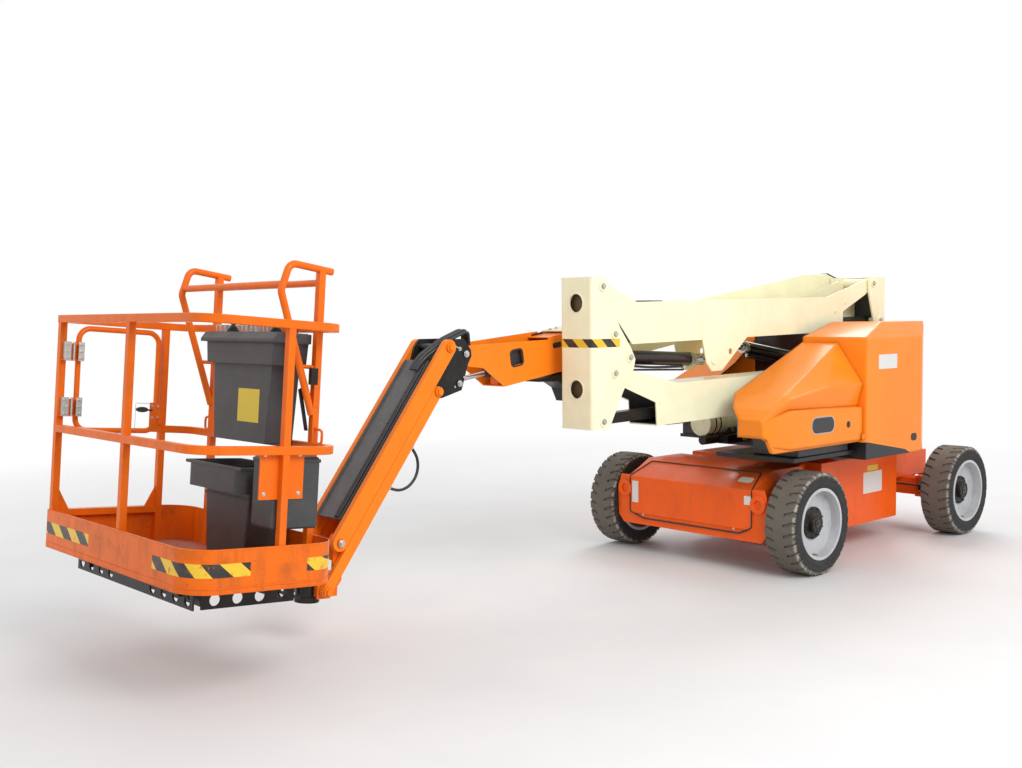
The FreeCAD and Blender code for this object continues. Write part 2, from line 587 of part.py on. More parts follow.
# Hood sections from the seam to the tip: share of the length, inner side, lower edge, side of the lower panel,
# top of that panel, foot of the band above it (y, z), crease over the band (y, z) and ridge (y, z)
HOOD = ((0, 360, 835, 835, 1055, 795, 1062, 835, 1215, 640, 1490),
        (0.384, 360, 835, 835, 1068, 800, 1074, 835, 1205, 700, 1318),
        (0.764, 400, 835, 835, 1078, 805, 1082, 835, 1150, 780, 1175),
        (0.928, 520, 860, 828, 1040, 815, 1045, 825, 1085, 800, 1095),
        (1, 620, 930, 800, 1000, 795, 1005, 795, 1020, 780, 1030))


def hoods():
    """A hollow hood in front of each rear cover, open below, behind and inwards, hinged at its outer rear edge."""
    for name, side, seam, tip in (("left", 1, s.cover_seam, s.hood_tip), ("right", -1, s.far_seam, s.far_hood_tip)):
        rear = seam + s.hood_gap
        skins = []
        for skin in (as_size(0), s.hood_skin):
            sections = []
            for share, inner, low, panel, top, foot_y, foot_z, crease_y, crease_z, ridge_y, ridge_z in HOOD:
                x = rear + (tip - rear) * share - skin * (2 if share == 0 else share == 1)
                corners = [(inner - 2 * skin, low - 2 * skin), (panel - skin, low - 2 * skin),
                           (panel - skin, top - skin), (foot_y - skin, foot_z - skin), (crease_y - skin, crease_z),
                           (ridge_y - skin, ridge_z - skin), (inner - 2 * skin, ridge_z - skin)]
                sections.append((x, [(side * y, z) for y, z in corners]))
            skins.append(ruled(sections))
        axis_x, axis_y = seam + s.hood_pin_in, side * s.hood_pin_y
        boss = rod("Z", s.hood_boss, s.hood_low, s.hood_low + s.hood_boss_high, axis_x, axis_y)
        bore = rod("Z", s.hinge_pin + s.run_gap, s.hood_low - s.margin, s.hood_low + 2 * s.hood_boss_high, axis_x,
                   axis_y)
        stand("hood_" + name, cut(fuse(cut(*skins), boss), bore))


def battery_packs():
    """Plain blocks of batteries on the deck's wings."""
    low = s.deck_low + s.deck_thick + s.seat_gap
    near = block(s.pack_rear, s.pack_front, s.pack_inner, s.pack_outer, low, s.pack_top)
    far = block(s.far_wing_rear + s.deck_thick, s.far_wing_front, -s.pack_outer, -s.pack_inner, low, s.pack_top)
    packs = named("Part::Compound", "Packs")
    packs.Links = [near, far]
    stand("battery_packs", packs)


def power_unit():
    """Pump motor, pump and swing drive on the deck."""
    deck_top = s.deck_low + s.deck_thick + s.seat_gap
    z = deck_top + s.motor_radius
    motor = rod("X", s.motor_radius, s.motor_rear, s.motor_front, s.motor_y, z)
    pump = rod("X", s.pump_radius, s.motor_front, s.pump_front, s.motor_y, z)
    drive = rod("Z", s.drive_radius, deck_top, s.drive_top, s.drive_x, s.drive_y)
    foot = block(s.motor_rear, s.motor_front, s.motor_y - s.pump_radius, s.motor_y + s.pump_radius, deck_top, z)
    stand("power_unit", fuse(motor, pump, foot, drive))


def tower_boom(name, x, z, facing):
    """One boom of the tower: ears at both ends, an open box beam below them and a gusset near its root."""
    half, wall = s.boom_half, s.boom_wall
    ear, top, base = s.ear_radius, -s.beam_top, -s.beam_base
    knee, foot, notch = s.span - s.far_knee, s.span - s.far_foot, s.span - s.notch_in
    corners = [(0, ear), (s.root_knee, top), (knee, top), (notch, ear - wall), (s.span, ear), (s.span, -ear),
               (notch, -s.notch_top), (foot + wall, -s.notch_rise), (foot, base), (s.root_foot, base), (0, -ear)]
    beam = plate("XZ", [(facing * a, b) for a, b in corners], -half, half)

    def run(start, end, y0, y1, z0, z1):
        """A box whose ends follow the boom's facing."""
        low, high = (start, end) if facing > 0 else (-as_size(end), -as_size(start))
        return block(low, high, y0, y1, z0, z1)

    inside = half - wall
    hollow = [run(-2 * ear, s.span + 2 * ear, -inside, inside, base + wall, top - wall),
              run(-2 * ear, s.root_knee, -inside, inside, top - 2 * wall, 2 * ear),
              run(s.span - s.far_knee, s.span + 2 * ear, -inside, inside, top - 2 * wall, 2 * ear)]
    parts = [cut(beam, *hollow)]
    for end in (as_size(0), s.span):
        parts.append(rod("Y", s.sleeve_radius, -half, half, facing * end, 0))
    deep = -s.gusset_deep
    gusset = [(s.gusset_near, -s.gusset_over), (s.gusset_far, -s.gusset_over), (s.gusset_far, base),
              (s.gusset_pin_x + 90, deep), (s.gusset_pin_x - 20, deep), (s.gusset_pin_x - 75, deep + 60),
              (s.gusset_near, base)]
    gusset = [(facing * a, b) for a, b in gusset]
    parts.append(plate("XZ", gusset, half, half + s.gusset_thick))
    parts.append(plate("XZ", gusset, -half - s.gusset_thick, -half))
    outside = half + s.gusset_thick
    for low, high in ((outside, outside + s.head_thick), (-outside - s.head_thick, -outside)):
        parts.append(rod("Y", s.pin_head, low, high, facing * s.gusset_pin_x, -s.gusset_pin_z))
    bores = [rod("Y", s.pin_radius + s.run_gap, -2 * half, 2 * half, facing * end, 0)
             for end in (as_size(0), s.span)]
    bores.append(rod("Y", s.gusset_hole, -2 * half, 2 * half, facing * s.gusset_hole_x, -s.gusset_hole_z))
    hang(name, cut(fuse(*parts), *bores), x, s.tower_y, z, s.fall)


def tower_link(name, x, z, facing):
    """A levelling link with an eye at each end, which runs inside a tower boom."""
    far = facing * s.span
    low, high = (as_size(0), far) if facing > 0 else (far, as_size(0))
    bar = block(low, high, -s.tower_link_wide, s.tower_link_wide, -s.tower_link_half, s.tower_link_half)
    eyes = [rod("Y", s.link_eye, -s.eye_half, s.eye_half, end, 0) for end in (as_size(0), far)]
    bores = [rod("Y", s.pin_radius + s.run_gap, -2 * s.eye_half, 2 * s.eye_half, end, 0)
             for end in (as_size(0), far)]
    hang(name, cut(fuse(bar, *eyes), *bores), x, s.tower_y, z, s.fall)


def front_pivot():
    """Place of the lower boom's front pin, from the drive axle."""
    return s.pivot_x + s.span * cosine(s.fall), s.pivot_z - s.span * sine(s.fall)


def top_pivot():
    """Place of the upper boom's front pin, from the drive axle."""
    x, z = front_pivot()
    return x + s.upright_set, z + s.upright_rise


def rear_pivot():
    """Place of the upper boom's rear pin, from the drive axle."""
    x, z = top_pivot()
    return x - s.span * cosine(s.fall), z + s.span * sine(s.fall)


def front_upright():
    """The upright at the tower's nose: two cheeks behind a face plate with two round holes, and five pins."""
    half, thick = s.cheek_half, s.cheek_thick
    face, low, high = s.front_face, -s.front_low, s.front_high
    corners = [(face, low), (face, high), (75, high), (40, 455), (-45, 275), (-145, 150), (-185, 80), (-170, 18),
               (-75, -112), (50, low)]
    at_face = lambda edge: (edge.BoundBox.XLength < 1 and edge.BoundBox.YLength < 1 and edge.BoundBox.XMin > 100)
    outer = soften(plate("XY", [(-200, -half), (face, -half), (face, half), (-200, half)], low, high),
                   s.front_round, at_face)
    inner = soften(plate("XY", [(-250, thick - half), (face - thick, thick - half), (face - thick, half - thick),
                                (-250, half - thick)], low - thick, high + thick), s.front_round - thick, at_face)
    parts = [cut(common(plate("XZ", corners, -half, half), outer), inner)]
    inside = half - thick / 2
    parts.append(block(s.brow_in, face - thick / 2, -inside, inside, high - thick, high))
    parts.append(block(s.sill_in, face - thick / 2, -inside, inside, low, low + s.sill))
    top_x, top_z = s.upright_set, s.upright_rise
    for x, z in ((0, 0), (top_x, top_z), (s.link_x, -s.link_z), (top_x - s.link_x, top_z - s.link_z),
                 (top_x - s.anchor_x, top_z - s.anchor_z)):
        parts.extend(pin_through(half, x, z))
    holes = [rod("X", s.front_hole, face - 2 * thick, face + thick, 0, z)
             for z in (s.front_hole_low, s.front_hole_high)]
    x, z = front_pivot()
    hang("front_upright", cut(fuse(*parts), *holes), x, s.tower_y, z, None)


def rear_upright():
    """The upright at the tower's tail: cheeks for the upper boom, posts for the main boom, and the lift lugs."""
    x, z = rear_pivot()
    half, thick = s.cheek_half, s.cheek_thick
    back, high, low = -s.rear_back, s.rear_high, -s.rear_low
    corners = [(back, low), (back, high), (60, high), (60, -60), (-30, low)]
    side = s.boom_y - s.tower_y
    outer = s.main_half + s.post_gap + s.post_thick
    parts = []
    for y0, y1 in ((half - thick, half), (-half, thick - half), (side + outer - s.post_thick, side + outer),
                   (side - outer, side - outer + s.post_thick)):
        parts.append(plate("XZ", corners, y0, y1))
    parts.append(block(back, back + thick, side - outer, half, low, high))
    parts.append(block(back, -s.link_x / 2, -half, half, high - thick / 2, high))
    for px, pz in ((0, 0), (-s.link_x, -s.link_z)):
        parts.extend(pin_through(half, px, pz))
    lift_x, lift_z = s.lift_x - x, s.lift_z - z
    parts.append(block(back, back + thick, side - outer, side + outer, lift_z - s.cyl_eye - s.rear_lap,
                       low + thick))
    gap, lug = s.lift_lug_gap + s.run_gap, s.lift_lug_thick
    near, low_z = back + thick / 2, lift_z - s.cyl_eye - s.rib_foot
    lugs = [(near, low_z), (near, lift_z + s.rib_root), (lift_x - s.rib_foot, lift_z + s.rib_brow),
            (lift_x + s.rib_nose, lift_z + s.rib_nose), (lift_x + s.rib_nose, lift_z - s.rib_nose),
            (lift_x - s.rib_foot, low_z)]
    parts.append(plate("XZ", lugs, side + gap, side + gap + lug))
    parts.append(plate("XZ", lugs, side - gap - lug, side - gap))
    parts.append(rod("Y", s.pin_radius, side - gap - lug - s.head_thick, side + gap + lug + s.head_thick, lift_x,
                     lift_z))
    hinge_x, hinge_z = s.hinge_x - x, s.hinge_z - z
    parts.append(rod("Y", s.pin_radius, side - outer - s.head_thick, side + outer, hinge_x, hinge_z))
    parts.append(rod("Y", s.pin_head, side - outer - s.head_thick, side - outer, hinge_x, hinge_z))
    hang("rear_upright", fuse(*parts), x, s.tower_y, z, None)


def cylinder(name, x, y, z, run, rise, length, barrel_length, pin_half, flat=1):
    """A hydraulic cylinder from its anchor pin towards its rod's eye, retracted: barrel and rod."""
    barrel = fuse(rod("X", s.barrel_radius, s.barrel_start, barrel_length, 0, 0),
                  rod("X", s.barrel_neck, s.cyl_eye / 2, s.barrel_start, 0, 0),
                  rod("Y", s.cyl_eye, -s.cyl_eye_half, s.cyl_eye_half, 0, 0))
    barrel = cut(barrel, rod("X", s.barrel_bore, s.barrel_base, barrel_length + s.cyl_eye, 0, 0),
                 rod("Y", s.pin_radius + s.run_gap, -2 * s.cyl_eye_half, 2 * s.cyl_eye_half, 0, 0))
    rod_body = fuse(rod("X", s.rod_radius, s.rod_start, length, 0, 0),
                    rod("Y", s.cyl_eye, -s.rod_eye_half, s.rod_eye_half, length, 0),
                    rod("Y", s.pin_radius, -pin_half, pin_half, length, 0))
    turn = direction(rise * flat, run)
    axis = (0, -flat, 0)
    hang(name + "_barrel", barrel, x, y, z, turn, axis)
    hang(name + "_rod", rod_body, x, y, z, turn, axis)


def tower_cylinders():
    """One lift cylinder under each tower boom, from the root upright's anchor pin to the gusset."""
    for name, pivot, facing in (("lower_cylinder", (s.pivot_x, s.pivot_z), 1), ("upper_cylinder", top_pivot(), -1)):
        x, z = pivot
        x, z = as_size(x), as_size(z)
        gx, gz = facing * s.gusset_pin_x, -s.gusset_pin_z
        run = turn_x(gx, gz, s.fall) - facing * s.anchor_x
        rise = turn_z(gx, gz, s.fall) + s.anchor_z
        cylinder(name, x + facing * s.anchor_x, s.tower_y, z - s.anchor_z, run, rise, distance(rise, run),
                 s.barrel_length, s.rod_pin_half, -1)


def main_lift_cylinder():
    """The main boom's lift cylinder, from the rear upright to the lug under the boom."""
    run = s.hinge_x + turn_x(s.lift_pin_x, -s.lift_pin_low, s.boom_slope) - s.lift_x
    rise = s.hinge_z + turn_z(s.lift_pin_x, -s.lift_pin_low, s.boom_slope) - s.lift_z
    cylinder("main_cylinder", s.lift_x, s.boom_y, s.lift_z, run, rise, distance(rise, run), s.lift_barrel_length,
             s.lift_pin_half)


def main_boom():
    """Hollow box boom on the rear upright, with a lug for its lift cylinder."""
    half, wall, low, high = s.main_half, s.main_wall, -s.main_low, s.main_high
    corners = [(-s.main_tail, low), (-s.main_tail, s.main_tail_low), (s.main_tail_in, s.main_tail_top),
               (s.main_knee, high), (s.main_length, high), (s.main_length, low)]
    beam = plate("XZ", corners, -half, half)
    inside = block(s.main_knee / 2, s.main_length + wall, wall - half, half - wall, low + wall,
                   high - 2 * wall)
    front = block(s.main_knee, s.main_length + wall, wall - half, half - wall, low + wall, high - wall)
    lug = [(s.lift_pin_x - s.lift_lug_half, low), (s.lift_pin_x + s.lift_lug_half, low),
           (s.lift_pin_x + s.cyl_eye, -s.lift_pin_low - 25), (s.lift_pin_x - s.cyl_eye, -s.lift_pin_low - 25)]
    gap, thick = s.lift_lug_gap, s.lift_lug_thick
    parts = [cut(beam, inside, front), plate("XZ", lug, gap, gap + thick), plate("XZ", lug, -gap - thick, -gap)]
    for y0, y1 in ((gap + thick, gap + thick + s.head_thick), (-gap - thick - s.head_thick, -gap - thick)):
        parts.append(rod("Y", s.pin_head, y0, y1, s.lift_pin_x, -s.lift_pin_low))
    bore = rod("Y", s.pin_radius + s.run_gap, -2 * half, 2 * half, 0, 0)
    hang("main_boom", cut(fuse(*parts), bore), s.hinge_x, s.boom_y, s.hinge_z, s.boom_slope)
    low = low - s.seat_gap
    # Each corner's place ahead of the boom's end and below its underside
    outline = ((-320, 0), (s.guard_reach, 0), (s.guard_reach, 14), (90, 40), (10, 100), (-20, s.guard_drop),
               (-45, s.guard_drop), (-60, 80), (-320, 30))
    guard = [(s.main_length + ahead, low - below) for ahead, below in outline]
    hang("boom_end_guard", plate("XZ", guard, s.guard_inset - half, half - s.guard_inset), s.hinge_x, s.boom_y,
         s.hinge_z, s.boom_slope)


def fly_boom():
    """Telescoping box inside the main boom, with an open tip of two cheeks, and the levelling cylinder in it."""
    half, wall, low, high = s.fly_half, s.fly_wall, -s.fly_low, s.fly_high
    tube = cut(block(s.fly_start, s.fly_end, -half, half, low, high),
               block(s.fly_start - wall, s.fly_end + wall, wall - half, half - wall, low + wall, high - wall))
    parts = [tube]
    end = s.fly_start + s.pad_length
    pad_y, pad_low, pad_high = s.main_half - s.main_wall - s.run_gap, s.main_low - s.main_wall, s.main_high
    parts.append(block(s.fly_start + wall, end, half, pad_y, low / 2, high / 2))
    parts.append(block(s.fly_start + wall, end, -pad_y, -half, low / 2, high / 2))
    parts.append(block(s.fly_start + wall, end, -half / 2, half / 2, s.run_gap - pad_low, low))
    grown = s.main_knee - s.fly_start + wall
    parts.append(block(s.fly_start + grown, end + grown, -half / 2, half / 2, high,
                       pad_high - s.main_wall - s.run_gap))
    tip = [(s.tip_x - 30, s.tip_z + 42), (s.tip_x + 20, s.tip_z + 34), (s.tip_x + 37, s.tip_z),
           (s.tip_x + 24, s.tip_z - 34), (s.tip_x - 26, s.tip_z - 79), (s.knee_x, s.knee_z), (s.belly_x, low),
           (s.cheek_start, low)]
    near = plate("XZ", [(s.cheek_start, s.near_top)] + tip, half - s.cheek_plate, half)
    far = plate("XZ", [(s.cheek_start, s.far_top)] + tip, -half, s.cheek_plate - half)
    parts += [near, far]
    parts.append(block(s.fly_end - wall, s.belly_x, -half, half, low, low + wall))
    parts.append(rod("Y", s.tip_sleeve, -half, half, s.tip_x, s.tip_z))
    level_z = s.tip_z + turn_z_up(s.level_dx, -s.level_dz)
    window = block(s.window_x - s.window_half, s.window_x + s.window_half, -2 * half, 2 * half,
                   s.window_z - s.window_half + wall, s.window_z + s.window_half - wall)
    tools = [rod("Y", s.tip_bore + s.run_gap, -2 * half, 2 * half, s.tip_x, s.tip_z), window]
    for x in (s.level_start + s.level_radius, s.level_end - 2 * s.level_radius):
        parts.append(block(x - wall, x + wall, -s.level_radius, s.level_radius, low, level_z - s.level_bore))
    tools.append(rod("X", s.level_radius + s.seat_gap, s.level_start - wall, s.level_end + wall, 0, level_z))
    hang("fly_boom", cut(fuse(*parts), *tools), s.hinge_x, s.boom_y, s.hinge_z, s.boom_slope)
    barrel = cut(rod("X", s.level_radius, s.level_start, s.level_end, 0, level_z),
                 rod("X", s.level_bore, s.level_start + 2 * s.level_bore, s.level_end + wall, 0, level_z))
    hang("level_barrel", barrel, s.hinge_x, s.boom_y, s.hinge_z, s.boom_slope)
    eye_x = s.tip_x + turn_x_up(s.level_dx, -s.level_dz)
    shaft = fuse(rod("X", s.level_rod, s.level_rod_start, eye_x, 0, level_z),
                 rod("Y", s.level_eye, -s.level_eye_half, s.level_eye_half, eye_x, level_z),
                 rod("Y", s.level_rod / 2, -half, half, eye_x, level_z))
    hang("level_rod", shaft, s.hinge_x, s.boom_y, s.hinge_z, s.boom_slope)


def turn_x_up(x, z):
    """The X part, along the main boom, of a vector given level."""
    return x * cosine(s.boom_slope) - z * sine(s.boom_slope)


def turn_z_up(x, z):
    """The Z part, square to the main boom, of a vector given level."""
    return z * cosine(s.boom_slope) + x * sine(s.boom_slope)


def tip_place():
    """Place of the fly's tip pin, from the drive axle."""
    return (s.hinge_x + turn_x(s.tip_x, s.tip_z, s.boom_slope), s.hinge_z + turn_z(s.tip_x, s.tip_z, s.boom_slope))


def jib_bracket():
    """Two plates on the fly's tip that carry the jib's two pins and the levelling rod."""
    tx, tz = tip_place()
    jx, jz = s.jib_x - tx, s.jib_z - tz
    lx, lz = jx + s.jib_dx, jz - s.jib_dz
    corners = [(-38, 22), (12, 86), (jx + 10, jz + 46), (jx + 46, jz + 5), (lx + 36, lz + 20), (lx + 14, lz - 36),
               (lx - 52, lz - 40), (s.level_dx - 18, -s.level_dz - 38), (-14, -60), (-42, -12)]
    inner, outer = s.bracket_in, s.bracket_in + s.bracket_thick
    parts = [plate("XZ", corners, inner, outer), plate("XZ", corners, -outer, -inner)]
    wall_x = s.bracket_plate_x - tx
    parts.append(block(wall_x, wall_x + s.bracket_thick, -outer, outer, lz + 60, jz - 26))
    parts.append(rod("Y", s.tip_bore, -outer - s.head_thick, outer + s.head_thick - 4, 0, 0))
    jib_end = s.rail_in + s.rail_thick + s.head_thick
    parts.append(rod("Y", s.jib_pin, -jib_end, jib_end, jx, jz))
    link_end = s.rail_in + s.leg_thick + s.head_thick
    parts.append(rod("Y", s.jib_pin, -link_end, link_end, lx, lz))
    for y0, y1 in ((outer, outer + 5), (-outer - 5, -outer)):
        parts.append(rod("Y", s.level_eye, y0, y1, s.level_dx, -s.level_dz))
    hang("jib_bracket", fuse(*parts), tx, s.boom_y, tz, None)


def jib():
    """Jib arm of two rails and cross tubes, its cover, and the link below it."""
    far = s.jib_length
    rails = []
    for side in (1, -1):
        near, out = side * s.rail_in, side * (s.rail_in + s.rail_thick)
        low, high = (near, out) if side > 0 else (out, near)
        rails.append(block(0, far, low, high, -s.rail_half, s.rail_half))
        rails += [rod("Y", s.rail_half, low, high, end, 0) for end in (0, far)]
    rails += [rod("Y", s.cross_radius, -s.rail_in - s.web_thick, s.rail_in + s.web_thick, x, 0)
              for x in (s.cross_near, s.cross_far)]
    wide = 2 * (s.rail_in + s.rail_thick)
    bores = [rod("Y", s.jib_pin + s.run_gap, -wide, wide, end, 0) for end in (0, far)]
    hang("jib_arm", cut(fuse(*rails), *bores), s.jib_x, s.boom_y, s.jib_z, s.jib_angle)
    cover = block(s.jib_cover_near, s.jib_cover_far, -s.jib_cover_half, s.jib_cover_half,
                  s.cross_radius + s.seat_gap, s.rail_half)
    hang("jib_cover", cover, s.jib_x, s.boom_y, s.jib_z, s.jib_angle)
    legs = []
    for side in (1, -1):
        near, out = side * s.rail_in, side * (s.rail_in + s.leg_thick)
        low, high = (near, out) if side > 0 else (out, near)
        legs.append(block(0, far, low, high, -s.leg_half, s.leg_half))
        legs += [rod("Y", s.leg_half, low, high, end, 0) for end in (0, far)]
    web = block(s.web_near, s.web_far, -s.rail_in - s.web_thick, s.rail_in + s.web_thick, -s.leg_half,
                s.web_thick - s.leg_half)
    bores = [rod("Y", s.jib_pin + s.run_gap, -wide, wide, end, 0) for end in (0, far)]
    hang("jib_link", cut(fuse(web, *legs), *bores), s.jib_x + s.jib_dx, s.boom_y, s.jib_z - s.jib_dz, s.jib_angle)


def far_pin():
    """Place of the jib arm's far pin, from the drive axle."""
    return s.jib_x + s.jib_length * cosine(s.jib_angle), s.jib_z - s.jib_length * sine(s.jib_angle)


def level(name, item, y=0):
    """Finish a sub-part given in the platform's own frame, whose origin is the jib arm's far pin."""
    x, z = far_pin()
    return hang(name, item, x, s.boom_y + y, z, s.level_tilt, (0, -1, 0))


def platform_support():
    """Weldment at the jib's end: two plates on its pins and a block that clamps the rotator."""
    lx = s.jib_dx * cosine(s.level_tilt) - s.jib_dz * sine(s.level_tilt)
    lz = -s.jib_dz * cosine(s.level_tilt) - s.jib_dx * sine(s.level_tilt)
    shoulder = s.rotor_high - s.end_plate
    corners = [(-45, 15), (-25, 44), (25, 44), (45, 10), (15, -50), (15, shoulder), (s.rotor_x + 12, shoulder),
               (s.rotor_x + 12, s.rotor_low), (lx - 40, s.rotor_low), (-45, -200)]
    inner, outer = s.bracket_in, s.bracket_in + s.bracket_thick
    parts = [plate("XZ", corners, inner, outer), plate("XZ", corners, -outer, -inner)]
    parts.append(block(-30, s.rotor_x, -inner, inner, s.rotor_low + s.web_thick, shoulder))
    jib_end = s.rail_in + s.rail_thick + s.head_thick
    link_end = s.rail_in + s.leg_thick + s.head_thick
    socket = rod("Z", s.rotor_radius + s.seat_gap, s.channel_low - s.rotor_radius * 3, s.arm_top, s.rotor_x, 0)
    body = cut(fuse(*parts), socket)
    ends = []
    for side in (1, -1):
        for end, x, z in ((jib_end, as_size(0), as_size(0)), (link_end, lx, lz)):
            near, out = side * (inner - 8), side * end
            low, high = (near, out) if side > 0 else (out, near)
            ends.append(rod("Y", s.jib_pin, low, high, x, z))
    level("platform_support", fuse(body, *ends))


def rotator():
    """Rotary actuator that swings the platform."""
    case = rod("Z", s.rotor_radius, s.rotor_low, s.rotor_high, s.rotor_x, 0)
    bore = rod("Z", s.shaft_radius + s.run_gap, s.rotor_low - 9, s.rotor_high + 9, s.rotor_x, 0)
    level("platform_rotator", cut(case, bore))


def carrier():
    """Frame under the platform: an arm from the rotator's shaft and two pierced channels across the floor."""
    top, low = s.arm_top, s.rotor_high + s.seat_gap
    floor = s.floor_low - s.seat_gap
    reach = s.back_x + s.channel_out
    parts = [rod("Z", s.shaft_radius, s.rotor_low - s.seat_gap, low, s.rotor_x, 0),
             rod("Z", s.disc_radius, s.rotor_low - s.seat_gap - s.disc_thick_low, s.rotor_low - s.seat_gap,
                 s.rotor_x, 0),
             rod("Z", s.disc_radius, low, floor, s.rotor_x, 0),
             block(s.rotor_x, reach, -s.arm_wide, s.arm_wide, low, floor)]
    holes = []
    for centre in (s.channel_in, s.channel_out):
        x = s.back_x + centre
        outer = block(x - s.channel_half, x + s.channel_half, s.platform_y - s.channel_span,
                      s.platform_y + s.channel_span, s.channel_low, floor)
        inner = block(x - s.channel_half + s.channel_wall, x + s.channel_half - s.channel_wall,
                      s.platform_y - 2 * s.channel_span, s.platform_y + 2 * s.channel_span,
                      s.channel_low - s.channel_wall, floor - s.channel_wall)
        parts.append(cut(outer, inner))
        for n in (-5, -4, -3, -2, 2, 3, 4, 5):
            holes.append(rod("X", s.channel_hole, x - 2 * s.channel_half, x + 2 * s.channel_half,
                             s.platform_y + n * s.channel_pitch, (s.channel_low + floor) / 2 - s.channel_wall))
    for side in (1, -1):
        y = s.platform_y + side * s.channel_span
        near, far = y - side * s.channel_wall, y
        low_y, high_y = (near, far) if side > 0 else (far, near)
        parts.append(block(s.back_x + s.channel_in, s.back_x + s.channel_out, low_y, high_y, s.channel_low, floor))
        for n in (-1.5, -0.5, 0.5, 1.5):
            x = s.back_x + (s.channel_in + s.channel_out) / 2 + n * s.channel_pitch
            holes.append(rod("Y", s.channel_hole, y - 2 * s.channel_wall, y + 2 * s.channel_wall, x,
                             (s.channel_low + floor) / 2 - s.channel_wall))
    level("platform_carrier", cut(fuse(*parts), *holes))


def platform_floor():
    """Floor and toe board, three corners round and the gate's corner square."""
    def tub(x0, x1, y0, y1, low, high, radius):
        """A tray's outline with three rounded corners."""
        body = plate("XY", [(x0, y0), (x1, y0), (x1, y1), (x0, y1)], low, high)
        square_x, square_y = as_size(x1).value, as_size(y0).value

        def wanted(edge):
            box = edge.BoundBox
            upright = box.XLength < 1 and box.YLength < 1
            at_gate = abs(box.XMin - square_x) < 1 and abs(box.YMin - square_y) < 1
            return upright and not at_gate

        return soften(body, radius, wanted)

    x0, x1 = s.back_x, s.back_x + s.platform_deep
    half, toe = s.platform_long / 2, s.toe_thick
    low, high = s.floor_low, s.floor_low + s.toe_high
    outer = tub(x0, x1, -half, half, low, high, s.corner)
    inner = tub(x0 + toe, x1 - toe, toe - half, half - toe, low + s.floor_thick, high + toe, s.corner - toe)
    level("platform_floor", cut(outer, inner), s.platform_y)


def tube_path(radius, points, bend, square=False):
    """A bent tube, round or square, along straight runs joined by arcs of one bend radius."""
    corners = [Vector(*[as_size(value).value for value in point]) for point in points]
    bend = as_size(bend).value
    edges = []
    start = corners[0]
    for before, corner, after in zip(corners, corners[1:], corners[2:]):
        into = (corner - before).normalize()
        out = (after - corner).normalize()
        turn = into.getAngle(out)
        reach = bend * math.tan(turn / 2)
        first, last = corner - into * reach, corner + out * reach
        middle_way = (out - into).normalize()
        middle = corner + middle_way * (bend / math.cos(turn / 2) - bend)
        edges.append(Part.LineSegment(start, first).toShape())
        edges.append(Part.Arc(first, middle, last).toShape())
        start = last
    edges.append(Part.LineSegment(start, corners[-1]).toShape())
    spine = Part.Wire(edges)
    way = (corners[1] - corners[0]).normalize()
    ring = Part.Wire([Part.Circle(corners[0], way, as_size(radius).value).toShape()])
    if square:
        ring = rounded_square(corners[0], way, as_size(radius).value, s.tube_round.value)
    item = named("Part::Feature", "Tube")
    item.Shape = spine.makePipeShell([ring], True, False)
    return item


def rounded_square(centre, way, half, round_off):
    """The outline of a square tube that starts along a level way."""
    across, up = way.cross(Vector(0, 0, 1)), Vector(0, 0, 1)
    flat = half - round_off
    diagonal = flat + round_off * math.sqrt(0.5)
    edges = []
    for n in range(4):
        out, along = (across, up, -across, -up)[n], (up, -across, -up, across)[n]
        near, far = centre + out * half - along * flat, centre + out * half + along * flat
        corner, end = centre + (out + along) * diagonal, centre + along * half + out * flat
        edges += [Part.LineSegment(near, far).toShape(), Part.Arc(far, corner, end).toShape()]
    return Part.Wire(edges)


